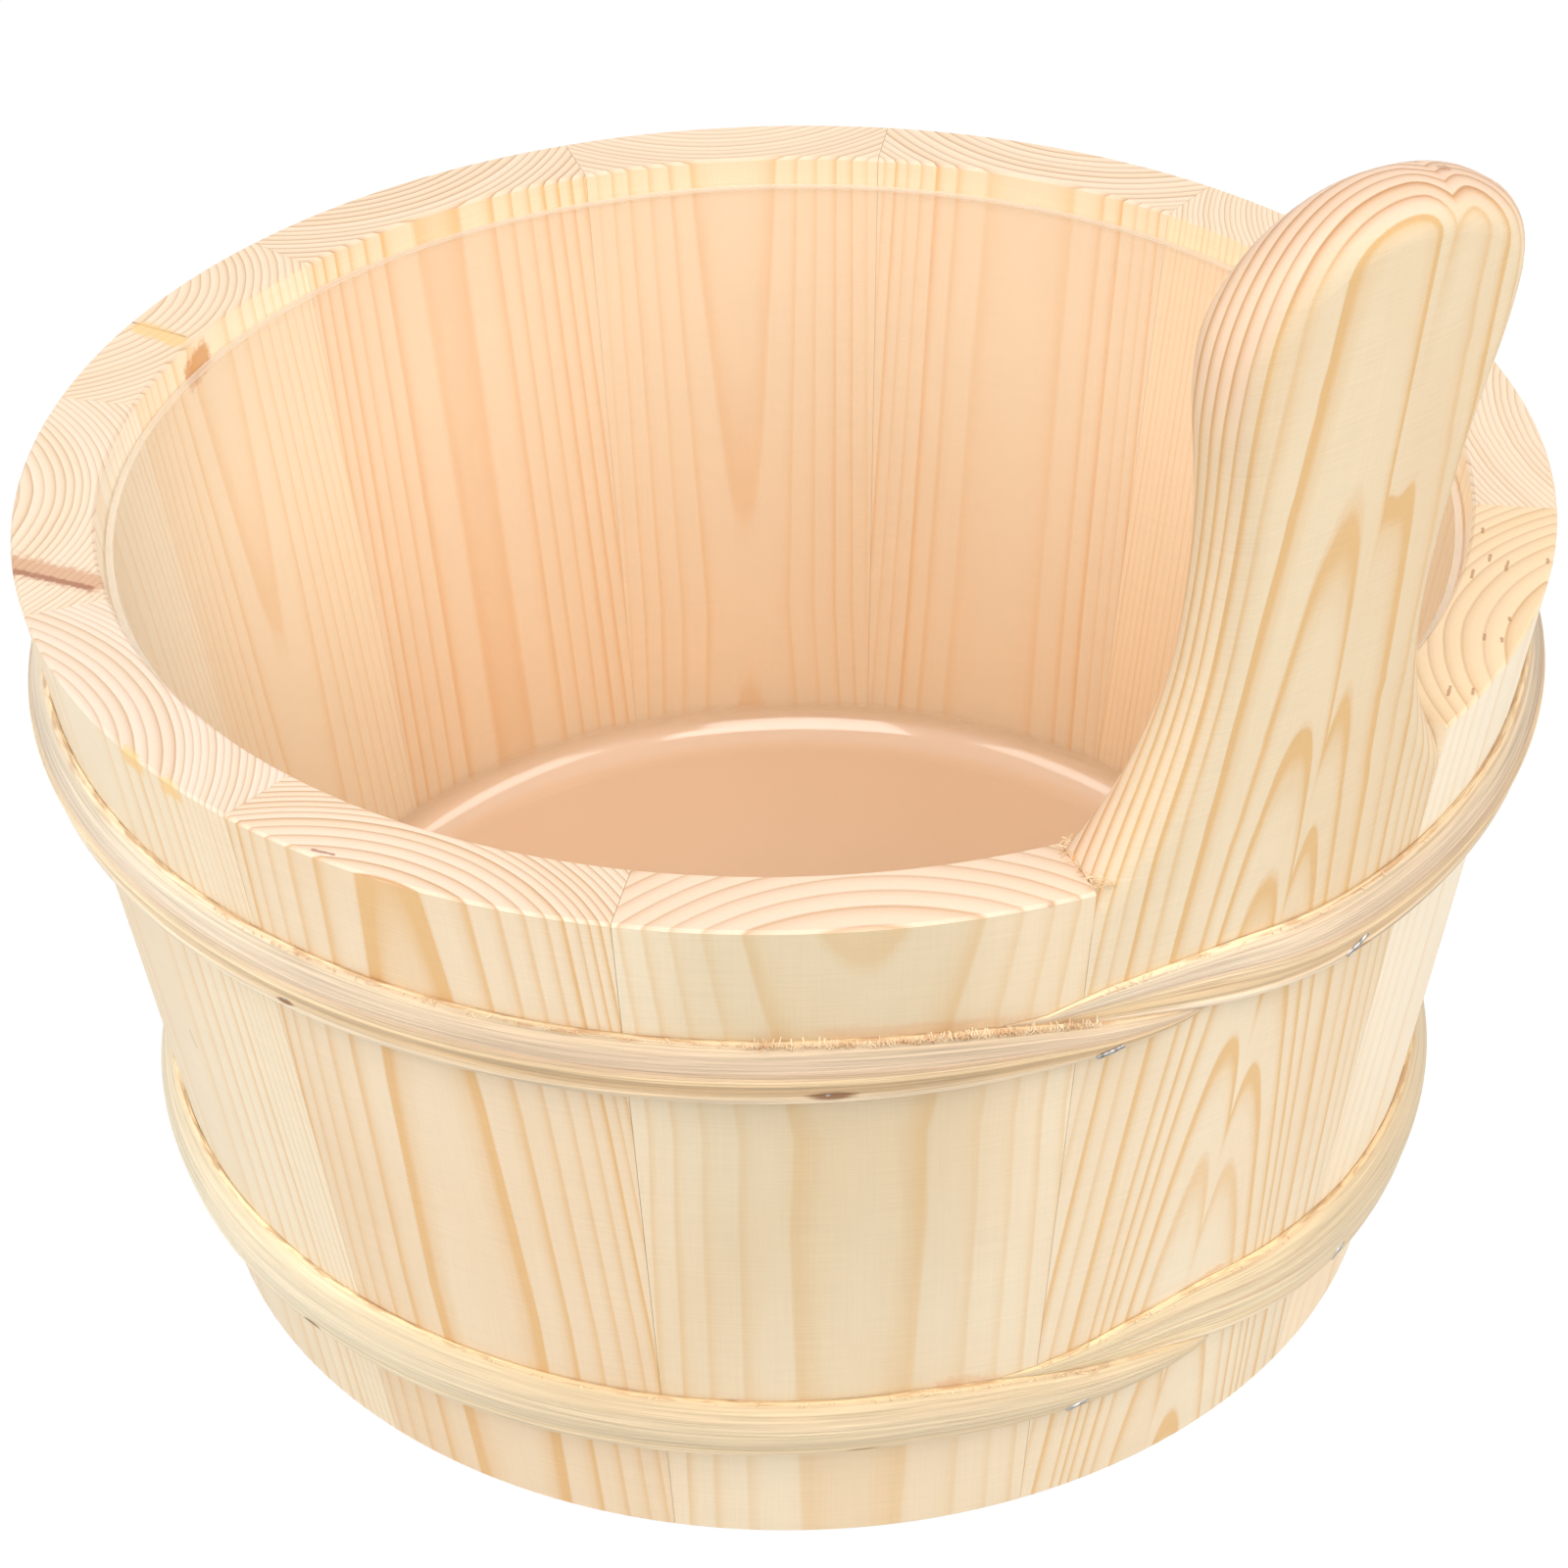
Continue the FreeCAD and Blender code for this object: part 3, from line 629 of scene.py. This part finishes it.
# %% The sections of the hoops, as (out from the staves, up along them) in millimetres
UPPER_SECTION = [
    (0.0, 5.9), (0.65, 6.0), (1.15, 5.95), (1.5, 5.5), (2.0, 4.8), (2.45, 4.1), (2.85, 3.4), (3.2, 2.8),
    (3.34, 2.5), (3.62, 2.35), (3.74, 2.0), (4.0, 1.85), (4.08, 1.5), (4.34, 1.35), (4.4, 0.95), (4.7, 0.7),
    (4.85, 0.2), (4.75, -0.4), (4.45, -1.0), (4.2, -1.8), (4.05, -2.7), (4.0, -3.5), (4.15, -4.1),
    (4.25, -4.8), (4.0, -5.4), (3.2, -5.8), (1.6, -6.0), (0.0, -5.9),
]
LOWER_SECTION = [
    (0.0, 5.9), (0.65, 6.0), (1.15, 5.9), (1.6, 5.5), (2.2, 4.7), (2.8, 3.7), (3.3, 2.8), (3.5, 2.45),
    (3.8, 2.1), (4.1, 1.4), (4.3, 1.1), (4.5, 0.5), (4.6, -0.3), (4.6, -1.2), (4.5, -2.1), (4.35, -2.9),
    (4.2, -3.6), (4.25, -4.2), (4.3, -4.8), (4.0, -5.4), (3.2, -5.8), (1.6, -6.0), (0.0, -5.9),
]
print("section corners:", len(UPPER_SECTION), "and", len(LOWER_SECTION))

# %% [markdown]
# A row of a strip's table reads: azimuth, height of the lower edge, height of the upper edge, how flat the
# section has been pared (0 to 1) and the thickness of the flat tongue. Azimuths run on past 180 to the far end.

# %% The strips' tables
CLEAR = 0.03
HOOP_RADIUS = 122.0
UV_RADIUS = 0.12
UV_WIDTH = 0.02
UPPER_STRIP = [
    (-75.5, 120.9, 121.4, 1.0, 0.3), (-72.3, 120.0, 121.8, 1.0, 0.8), (-70.4, 119.1, 123.3, 1.0, 1.1),
    (-68.5, 118.2, 124.5, 1.0, 1.3), (-65.0, 116.9, 125.4, 0.95, 1.4), (-62.3, 115.5, 125.8, 0.9, 1.5),
    (-59.5, 114.2, 125.8, 0.85, 1.8), (-57.0, 113.3, 125.5, 0.7, 2.2), (-54.0, 112.9, 124.6, 0.4, 2.6),
    (-50.3, 112.6, 123.6, 0.1, 3.0), (-46.0, 112.4, 122.9, 0.0, 3.0), (-28.0, 112.0, 122.3, 0.0, 3.0),
    (20.0, 111.6, 123.0, 0.0, 3.0), (195.0, 111.6, 123.0, 0.0, 3.0), (232.0, 112.0, 122.7, 0.0, 3.0),
    (256.0, 112.4, 122.7, 0.0, 3.0), (273.0, 112.7, 122.7, 0.0, 3.0), (279.0, 112.8, 122.3, 0.05, 3.0),
    (283.0, 112.8, 121.6, 0.2, 3.0), (287.3, 112.8, 120.4, 0.4, 3.0), (292.0, 112.8, 118.2, 0.6, 2.9),
    (295.0, 112.9, 116.8, 0.75, 2.4), (298.0, 113.0, 115.4, 0.9, 1.8), (301.0, 113.5, 114.3, 1.0, 0.6),
]
LOWER_STRIP = [
    (-73.0, 36.0, 36.4, 1.0, 0.3), (-70.2, 35.2, 36.9, 1.0, 0.9), (-66.0, 33.6, 38.8, 1.0, 1.3),
    (-61.3, 31.8, 41.2, 1.0, 1.5), (-57.2, 30.6, 42.3, 0.95, 1.6), (-54.1, 29.0, 42.7, 0.9, 1.8),
    (-51.0, 27.5, 42.2, 0.8, 2.1), (-46.3, 26.6, 41.2, 0.5, 2.6), (-42.0, 26.0, 40.6, 0.2, 3.0),
    (-34.0, 25.4, 38.8, 0.0, 3.0), (-20.0, 25.2, 37.2, 0.0, 3.0), (20.0, 25.1, 37.0, 0.0, 3.0),
    (210.0, 25.1, 37.0, 0.0, 3.0), (234.0, 25.4, 36.9, 0.0, 3.0), (256.0, 26.2, 36.6, 0.0, 3.0),
    (269.0, 27.0, 36.7, 0.0, 3.0), (280.5, 27.8, 37.3, 0.1, 3.0), (287.9, 27.4, 36.0, 0.25, 3.0),
    (295.9, 26.8, 33.2, 0.5, 3.0), (302.8, 26.9, 30.9, 0.7, 2.7), (305.9, 27.0, 29.2, 0.85, 2.2),
    (308.5, 27.2, 28.1, 1.0, 0.8),
]
STEP_DEGREES = 1.5
SECTION_HALF = 6.0


def polar(radius, turn, height):
    """A point in metres, from a radius and a height in millimetres and a turn in radians."""
    return Vector((radius * math.cos(turn), radius * math.sin(turn), height)) * MM


def read_row(table, azimuth):
    """The table's row at an azimuth, with its numbers eased between the rows on either side."""
    for before, after in zip(table, table[1:]):
        if azimuth <= after[0]:
            part = max(0.0, (azimuth - before[0]) / (after[0] - before[0]))
            return [low + (high - low) * part for low, high in zip(before[1:], after[1:])]
    return table[-1][1:]


def on_strip(table, azimuth, out, up):
    """A point of a strip, in metres, for a place on its section."""
    low, high, flat, thickness = read_row(table, azimuth)
    pared = thickness * (1 - 0.3 * (up / SECTION_HALF) ** 2)
    if abs(up) > SECTION_HALF - 0.01 or out < 0.2:
        pared = min(out, 0.2)
    out = out + (pared - out) * flat
    height = low + (high - low) * (up + SECTION_HALF) / (2 * SECTION_HALF)
    radius = outside_radius(height) + CLEAR + out * COS_LEAN
    height = height - out * LEAN * COS_LEAN
    return polar(radius, math.radians(azimuth), height)


def make_hoop(name, section, table):
    """Spin the section round, mould every vertex to the strip's table and close the two tips."""
    hoop = bmesh.new()
    grain = hoop.loops.layers.uv.new("grain")
    place = {layer: hoop.verts.layers.float.new(layer) for layer in ("out", "up", "across", "turn")}
    loop = []
    for index, (out, up) in enumerate(section):
        corner = hoop.verts.new(((outside_radius(0) + out) * MM, 0, up * MM))
        corner[place["out"]], corner[place["up"]] = out, up
        corner[place["across"]] = index / (len(section) - 1)
        loop.append(corner)
    for first, second in zip(loop, loop[1:] + loop[:1]):
        hoop.edges.new((first, second))
    start, end = table[0][0], table[-1][0]
    steps = round((end - start) / STEP_DEGREES)
    bmesh.ops.spin(hoop, geom=hoop.verts[:] + hoop.edges[:], cent=(0, 0, 0), axis=(0, 0, 1), dvec=(0, 0, 0),
                   angle=math.radians(end - start), steps=steps, use_merge=False, use_duplicate=False)
    hoop.verts.ensure_lookup_table()
    for index, corner in enumerate(hoop.verts):
        azimuth = start + (end - start) * (index // len(section)) / steps
        corner[place["turn"]] = azimuth
        corner.co = on_strip(table, azimuth, corner[place["out"]], corner[place["up"]])
    for face in hoop.faces:
        face.smooth = True
        for corner in face.loops:
            corner[grain].uv = (math.radians(corner.vert[place["turn"]]) * UV_RADIUS,
                                corner.vert[place["across"]] * UV_WIDTH)
    bmesh.ops.holes_fill(hoop, edges=[edge for edge in hoop.edges if edge.is_boundary], sides=0)
    bmesh.ops.recalc_face_normals(hoop, faces=hoop.faces)
    mesh = bpy.data.meshes.new(name)
    hoop.to_mesh(mesh)
    print(name, "faces:", len(hoop.faces), "open edges:", sum(edge.is_boundary for edge in hoop.edges))
    hoop.free()
    piece = add_object(name, mesh)
    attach(piece, "pail")
    return piece


upper_cane = make_hoop("upper_cane_hoop", UPPER_SECTION, UPPER_STRIP)
lower_cane = make_hoop("lower_cane_hoop", LOWER_SECTION, LOWER_STRIP)
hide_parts("upper_hoop")
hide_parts("lower_hoop")

# %% [markdown]
# Where the cane was pared and bent, its fibres stand up along the upper edge and a few curl away. Each is a
# hair-thin tube along a bent path, placed by a seeded chance: plain mesh, where a particle system would be lost
# when the model is exported.

# %% Loose fibres of the cane
FIBRE_THICKNESS, TORN_THICKNESS = 0.2, 0.22
FIBRE_STEPS = 5
TORN_AZIMUTH, TORN_COUNT = -69.2, 140


def tubes(name, paths, thickness, sides=0):
    """One mesh of thin closed tubes, a tube for each path of points."""
    line = bpy.data.curves.new(name, "CURVE")
    line.dimensions = "3D"
    line.bevel_depth = thickness / 2
    line.bevel_resolution = sides
    line.use_fill_caps = True
    for path in paths:
        run = line.splines.new("POLY")
        run.points.add(len(path) - 1)
        for point, spot in zip(run.points, path):
            point.co = (*spot, 1.0)
    carrier = bpy.data.objects.new(name + "_line", line)
    mesh = bpy.data.meshes.new_from_object(carrier)
    bpy.data.objects.remove(carrier)
    return add_object(name, mesh)


def fibre_path(table, chance, azimuth, up, length, lift, curl):
    """A fibre that leaves the strip's surface and bends over. Length and lift are in millimetres."""
    path = []
    for step in range(FIBRE_STEPS + 1):
        part = step / FIBRE_STEPS
        along = azimuth + math.degrees(length * part / HOOP_RADIUS) * (1 - curl * part)
        spot = on_strip(table, along, 0.9 + lift * part * (1.2 - part) * 1.6, up)
        path.append(spot + Vector((0, 0, MM * lift * (part - 0.6 * curl * part * part))))
    return path


chance = random.Random(41)
fuzz = []
for table, spans in ((UPPER_STRIP, ((267.0, 291.0, 330, 2.6), (-69.0, -60.0, 26, 1.6),
                                    (225.0, 268.0, 110, 1.4), (-60.0, -30.0, 30, 1.4))),
                     (LOWER_STRIP, ((270.0, 297.0, 60, 1.4), (-70.0, -44.0, 40, 1.4), (235.0, 270.0, 24, 1.0)))):
    for start, end, count, lift in spans:
        for _ in range(count):
            fuzz.append(fibre_path(table, chance, chance.uniform(start, end), chance.uniform(4.7, 5.95),
                                   chance.choice((-1, 1)) * chance.uniform(0.2, 1.9), lift * chance.uniform(0.3, 1.0),
                                   chance.uniform(0.0, 0.9)))
for table, azimuth, up, length, lift, curl in (
        (UPPER_STRIP, 280.3, 5.9, 1.6, 4.6, 1.1), (UPPER_STRIP, 279.2, 5.9, -2.2, 2.8, 1.3),
        (UPPER_STRIP, 281.0, 5.9, 3.5, 3.4, 0.7), (LOWER_STRIP, 294.0, 5.0, 3.4, 3.2, 1.2),
        (LOWER_STRIP, 295.2, 4.6, 2.6, 3.0, 1.4), (LOWER_STRIP, 288.0, 0.4, 3.8, 1.8, 1.2),
        (LOWER_STRIP, 290.0, -0.6, 3.4, 1.4, 1.3), (UPPER_STRIP, 273.8, 5.9, 1.2, 2.8, 1.0)):
    fuzz.append(fibre_path(table, chance, azimuth, up, length, lift, curl))
torn = []
for _ in range(TORN_COUNT):
    turn = math.radians(TORN_AZIMUTH + chance.uniform(-0.8, 0.8))
    radius = chance.uniform(116.5, 129.5)
    foot = polar(radius, turn, BODY_HEIGHT + 0.1)
    lean = Vector((chance.uniform(-0.9, 0.9), chance.uniform(-0.9, 0.9), chance.uniform(0.1, 0.8))) * MM
    torn.append([foot, foot + lean * 0.8, foot + lean * 1.5 + Vector((0, 0, -0.3)) * MM])
torn_grain = tubes("torn_grain", torn, TORN_THICKNESS * MM)
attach(torn_grain, "pail")
loose_fibres = tubes("cane_fibres", fuzz, FIBRE_THICKNESS * MM)
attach(loose_fibres, "pail")
print("fibres:", len(fuzz), "faces:", len(loose_fibres.data.polygons))

# %% [markdown]
# The staples are 1 mm wire. Most of each crown is pressed into the cane near its lower edge, aslant, with the
# legs out of sight in the staves. A wire is round, so each is a tube along its bent path.

# %% Wire staples
UPPER_STAPLES = [-127.5, -87.8, -68.1, -47.0, -10.0, 35.0, 95.0, 125.0, 172.0]
LOWER_STAPLES = [-136.0, -85.1, -66.6, -36.0, 5.0, 48.0, 92.0, 135.0, 178.0]
SUNK = (-127.5, -87.8, -136.0, -85.1)
STAPLE_HALF, STAPLE_RISE, STAPLE_UP, STAPLE_LEG, STAPLE_WIRE = 1.9, 1.1, -3.6, 9.0, 0.85
CANE_FACE = 4.15


def staple_path(table, azimuth, up):
    """The bent wire: a leg in the stave, the crown over the cane's face and the other leg. Some are sunk."""
    sunk = 0.75 if azimuth in SUNK else 0.3
    while azimuth < table[0][0] or (azimuth < -60 and azimuth + 360 < table[-1][0]):
        azimuth += 360
    half, rise = math.degrees(STAPLE_HALF / HOOP_RADIUS), STAPLE_RISE
    ends = []
    for side in (1, -1):
        low, high, flat, thickness = read_row(table, azimuth)
        face = CANE_FACE * (1 - flat) + thickness * flat - sunk
        turn = math.radians(azimuth - half * side)
        height = low + (high - low) * (up - rise * side + SECTION_HALF) / (2 * SECTION_HALF)
        radius = outside_radius(height) + face + 0.1
        outer = polar(radius, turn, height - face * LEAN)
        outward = polar(1.0, turn, 0)
        ends.append([outer - outward * (face + STAPLE_LEG), outer - outward * 0.5, outer + outward * 0.05])
    middle = (ends[0][2] + ends[1][2]) / 2
    middle += Vector((middle.x, middle.y, 0)).normalized() * 0.12 * MM
    return ends[0] + [middle] + ends[1][::-1]


for name, table, azimuths, node in (("upper_staple_wires", UPPER_STRIP, UPPER_STAPLES, "upper_hoop_staples"),
                                    ("lower_staple_wires", LOWER_STRIP, LOWER_STAPLES, "lower_hoop_staples")):
    wires = tubes(name, [staple_path(table, azimuth, STAPLE_UP) for azimuth in azimuths], STAPLE_WIRE * MM, 2)
    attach(wires, "pail")
    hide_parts(node)
    print(name, "faces:", len(wires.data.polygons))

# %% [markdown]
# The cane's colour follows its section. The upper face is pale and a little pink, the hollow is tan where
# the soft inside of the cane shows, and the lip is almost white. Fibres run along the strip, so the noise is
# stretched along the UV that was laid while it was spun.

# %% Cane
def cane_material(name, bands, fibre_strength, seed, tongue_span, pared_tone, bruises):
    """Cane whose colours across the section are the bands. The pared tongue is paler and streaked, the strip is
    painted lighter and paler round the left as painted light, its upper edge is ragged and the wire left bruises
    and splits, whose dark brown is partly painted shade in the gaps."""
    material, tree, surface = new_material(name)
    laid = add_node(tree, "UVMap", uv_map="grain").outputs[0]
    around, width, _ = split(tree, laid)
    across = times(tree, width, 1 / UV_WIDTH)
    drift = mottle(tree, laid, (14.0, 30.0, 1.0), seed, 1.0)
    fine = mottle(tree, laid, (50.0, 2600.0, 1.0), seed, 3.0)
    broad = mottle(tree, laid, (20.0, 1150.0, 1.0), seed + 4, 2.0)
    drifting = times_add(tree, drift, 0.05, times_add(tree, broad, 0.05, across))
    ramp = add_node(tree, "ValToRGB", drifting)
    while len(ramp.color_ramp.elements) < len(bands):
        ramp.color_ramp.elements.new(0.5)
    for stop, (place, *colour) in zip(ramp.color_ramp.elements, bands):
        stop.position = place
        stop.color = paint(*colour)
    tooth = times_add(tree, fine, 0.75 * fibre_strength, times_add(tree, broad, 0.95 * fibre_strength, 1.0))
    coat = mix_paint(tree, 1.0, ramp.outputs[0], tooth, "MULTIPLY")
    pared = ramp_between(tree, around, *tongue_span, 1.0, 0.0)
    streaks = ramp_between(tree, mottle(tree, laid, (26.0, 1500.0, 1.0), seed + 8, 1.0), 0.0, 0.12)
    streaks = times(tree, times(tree, pared, streaks), 0.5)
    coat = mix_paint(tree, streaks, tint(tree, coat, pared, pared_tone), paint(196, 146, 110))
    # Painted light: the strip is lighter and paler round the back and left.
    lighter_round_left = ramp_between(tree, around, 0.44, 0.54, 1.0, 0.0)
    lighter_round_left = times(tree, ramp_between(tree, around, 0.0, 0.25), lighter_round_left)
    coat = tint(tree, coat, lighter_round_left, (1.24, 1.36, 1.52))
    ragged = ramp_between(tree, times_add(tree, broad, 0.2, across), 0.05, 0.13, 1.0, 0.0)
    patches = mottle(tree, laid, (160.0, 700.0, 1.0), seed + 2, 2.0)
    patches = ramp_between(tree, patches, -0.05, 0.12, 0.0, 0.6)
    coat = mix_paint(tree, times(tree, ragged, patches), coat, paint(188, 142, 98))
    for azimuth, middle, half_length, half_width, colour in bruises:
        along = calc(tree, "SUBTRACT", around, math.radians(azimuth) * UV_RADIUS)
        along = calc(tree, "DIVIDE", along, half_length * MM)
        aside = calc(tree, "DIVIDE", calc(tree, "SUBTRACT", across, middle), half_width)
        squared = times_add(tree, along, along, times(tree, aside, aside))
        far = times_add(tree, broad, 1.2, calc(tree, "SQRT", squared))
        coat = mix_paint(tree, ramp_between(tree, far, 0.4, 1.0, 0.85, 0.0), coat, colour)
    feed(tree, surface, Base_Color=coat, Roughness=times_add(tree, fine, 0.2, 0.5), Specular_IOR_Level=0.35)
    raise_relief(tree, surface, times_add(tree, broad, 1.3, fine), 0.5, 0.4)
    return material


# The bands: place across, then red, green and blue.
UPPER_BANDS = [
    (0.0, 230, 204, 166), (0.03, 228, 203, 165), (0.07, 215, 190, 155), (0.2, 201, 178, 150),
    (0.36, 199, 175, 148), (0.45, 200, 170, 138), (0.58, 218, 190, 150), (0.66, 206, 174, 132),
    (0.76, 212, 180, 138), (0.82, 222, 197, 163), (0.92, 236, 219, 194), (1.0, 180, 150, 110),
]
LOWER_BANDS = [
    (0.0, 226, 198, 158), (0.03, 238, 212, 168), (0.09, 216, 191, 152), (0.35, 206, 185, 153),
    (0.6, 216, 196, 162), (0.74, 217, 194, 156), (0.83, 226, 206, 174), (0.93, 238, 222, 196),
    (1.0, 180, 150, 110),
]
# The darkest colour is for the splits where sunk wire bit into the cane: partly the torn cane, partly painted shade
# in the gap.
SPLIT_WITH_SHADE, DENT = paint(124, 78, 42), paint(172, 134, 92)
# A bruise: azimuth, place across, half its length in millimetres, half its width as a share of the section.
UPPER_BRUISES = [(272.4, 0.79, 4.0, 0.06, SPLIT_WITH_SHADE), (232.6, 0.8, 2.0, 0.04, SPLIT_WITH_SHADE), (292.0, 0.83, 3.4, 0.035, DENT),
                 (-46.8, 0.83, 3.2, 0.03, DENT)]
LOWER_BRUISES = [(274.9, 0.8, 3.2, 0.022, DENT), (224.0, 0.8, 2.6, 0.045, SPLIT_WITH_SHADE), (293.5, 0.8, 3.0, 0.03, DENT)]
upper_cane.data.materials.append(cane_material(
    "cane_upper", UPPER_BANDS, 1.0, 2.0, (-0.125, -0.09), (1.22, 1.29, 1.36), UPPER_BRUISES))
lower_cane.data.materials.append(cane_material(
    "cane_lower", LOWER_BANDS, 0.7, 9.0, (-0.115, -0.07), (1.2, 1.23, 1.22), LOWER_BRUISES))

fibre_paint, tree, surface = new_material("cane_fibre")
spread = mottle(tree, object_space(tree)["Object"], (300.0, 300.0, 300.0), 3.0, 1.0)
straw = mix_paint(tree, ramp_between(tree, spread, -0.2, 0.2), paint(246, 224, 190), paint(224, 186, 142))
feed(tree, surface, Base_Color=straw, Roughness=0.6)
loose_fibres.data.materials.append(fibre_paint)
torn_grain.data.materials.append(fibre_paint)
print("cane laid on both hoops")

# %% [markdown]
# The staples are bare steel, gone a little dull. The CAD model's own hoops and staples are hidden, because the
# pieces above stand for them, but they take the same finish in case they are ever shown.

# %% Wire
wire, tree, surface = new_material("staple_wire")
tarnish = mottle(tree, object_space(tree)["Object"], (900.0, 900.0, 900.0), 5.0, 2.0)
steel = mix_paint(tree, ramp_between(tree, tarnish, -0.1, 0.2), paint(178, 177, 176), paint(120, 115, 110))
feed(tree, surface, Base_Color=steel, Metallic=1.0, Roughness=times_add(tree, tarnish, 0.5, 0.4))
for side, hoop in (("upper", upper_cane), ("lower", lower_cane)):
    staples = bpy.data.objects[f"{side}_staple_wires"].data.materials
    staples.clear()
    staples.append(wire)
    dress(f"{side}_hoop_staples", wire)
    dress(f"{side}_hoop", hoop.data.materials[0])
print("staples dressed")

# %% [markdown]
# ## Plastic liner
# The liner is thin, milky and warm with the wood behind it. Its wall lets the grain through; its floor lies
# over the boards and hides them almost wholly. Its upper edge is a paler, denser band: a painted highlight. The
# milk is warmer low down and paler near the top: painted light. Glass-like refraction through two close walls
# comes out dark and grainy, so the milk is a paint that covers only a share of what is behind.

# %% Liner
LINER_TOP = 140.5
WALL_COVER, FLOOR_COVER, EDGE_HIGHLIGHT_COVER = 0.17, 0.82, 0.45
liner, tree, surface = new_material("milky_liner")
place = object_space(tree)["Object"]
height = times(tree, split(tree, place)[2], 1 / MM)
cloud = mottle(tree, place, (18.0, 18.0, 9.0), 7.0, 2.0)
deep = ramp_between(tree, height, 27.6, 32.5, 1.0, 0.0)
cover = times_add(tree, deep, FLOOR_COVER - WALL_COVER, WALL_COVER)
# Painted highlight: a paler, denser band along the liner's top edge.
edge = ramp_between(tree, height, LINER_TOP - 0.7, LINER_TOP - 0.2)
# Painted light: the milk is warmer low down and paler near the top of the wall.
milk = mix_paint(tree, ramp_between(tree, height, 30.0, 120.0), paint(255, 222, 184), paint(255, 238, 214))
milk = mix_paint(tree, deep, milk, paint(248, 214, 182))
feed(tree, surface, Base_Color=mix_paint(tree, edge, milk, paint(255, 242, 224)),
     Alpha=calc(tree, "MAXIMUM", cover, times(tree, edge, EDGE_HIGHLIGHT_COVER)), IOR=1.49,
     Roughness=times_add(tree, cloud, 0.08, 0.17), Coat_Weight=deep, Coat_Roughness=0.06)
dress("plastic_liner", liner)
print("liner dressed")

# %% [markdown]
# ## Floor and light
# The photograph stands on pure white with hardly a shadow, under light so soft that the sides are as
# bright as the front. The floor shows white to the camera and still takes a trace of the pail's shadow.

# %% Floor
FLOOR_HALF = 3.0
FLOOR_GLOW = 1.04
floor_mesh = bpy.data.meshes.new("floor")
sheet = bmesh.new()
bmesh.ops.create_grid(sheet, x_segments=1, y_segments=1, size=FLOOR_HALF)
sheet.to_mesh(floor_mesh)
sheet.free()
floor = add_object("floor", floor_mesh)


def seen_directly(tree):
    """One for the camera's rays and for reflections, none for the light that falls on the pail."""
    seen = add_node(tree, "LightPath").outputs
    return calc(tree, "MAXIMUM", seen["Is Camera Ray"],
                calc(tree, "MAXIMUM", seen["Is Glossy Ray"], seen["Is Transmission Ray"]))


floor_paint = bpy.data.materials.new("floor_white")
tree = blank_tree(floor_paint)
matt = feed(tree, add_node(tree, "BsdfDiffuse"), Color=(0.7, 0.7, 0.7, 1))
glow = feed(tree, add_node(tree, "Emission"), Strength=FLOOR_GLOW)
glowing = times(tree, seen_directly(tree), 0.93)
both = add_node(tree, "MixShader", glowing, matt.outputs[0], glow.outputs[0])
add_node(tree, "OutputMaterial", both.outputs[0])
floor_mesh.materials.append(floor_paint)
print("floor laid")

# %% [markdown]
# One lamp alone would leave a dark side. Four square softboxes, unseen by the camera, light the pail from the
# left, the right, the back and above the camera, and a weak white sky fills what they miss.

# %% World and lamps
SKY_STRENGTH = 0.18
SOFTBOX_SIZE = 1.3
SOFTBOX_TARGET = Vector((0, 0, 0.08))
scene.world = bpy.data.worlds.new("studio")
tree = blank_tree(scene.world)
strength = ramp_between(tree, seen_directly(tree), 0.0, 1.0, SKY_STRENGTH, 1.0, soft=False)
sky = feed(tree, add_node(tree, "Background"), Color=(1, 1, 1, 1), Strength=strength)
add_node(tree, "OutputWorld", sky.outputs[0])


def softbox(name, place, power):
    """A square area lamp, aimed at the middle of the pail and unseen by the camera."""
    lamp = bpy.data.lights.new(name, "AREA")
    lamp.shape = "SQUARE"
    lamp.size = SOFTBOX_SIZE
    lamp.energy = power
    box = add_object(name, lamp)
    box.location = place
    box.rotation_euler = (SOFTBOX_TARGET - Vector(place)).to_track_quat("-Z", "Y").to_euler()
    box.visible_camera = False


softbox("left_softbox", (-1.45, -0.3, 1.0), 15.5)
softbox("right_softbox", (1.45, -0.3, 1.0), 16.6)
softbox("back_softbox", (0.0, 1.6, 0.7), 6.5)
softbox("key_softbox", (0.0, -1.25, 1.35), 24.8)
print("lamps lit")
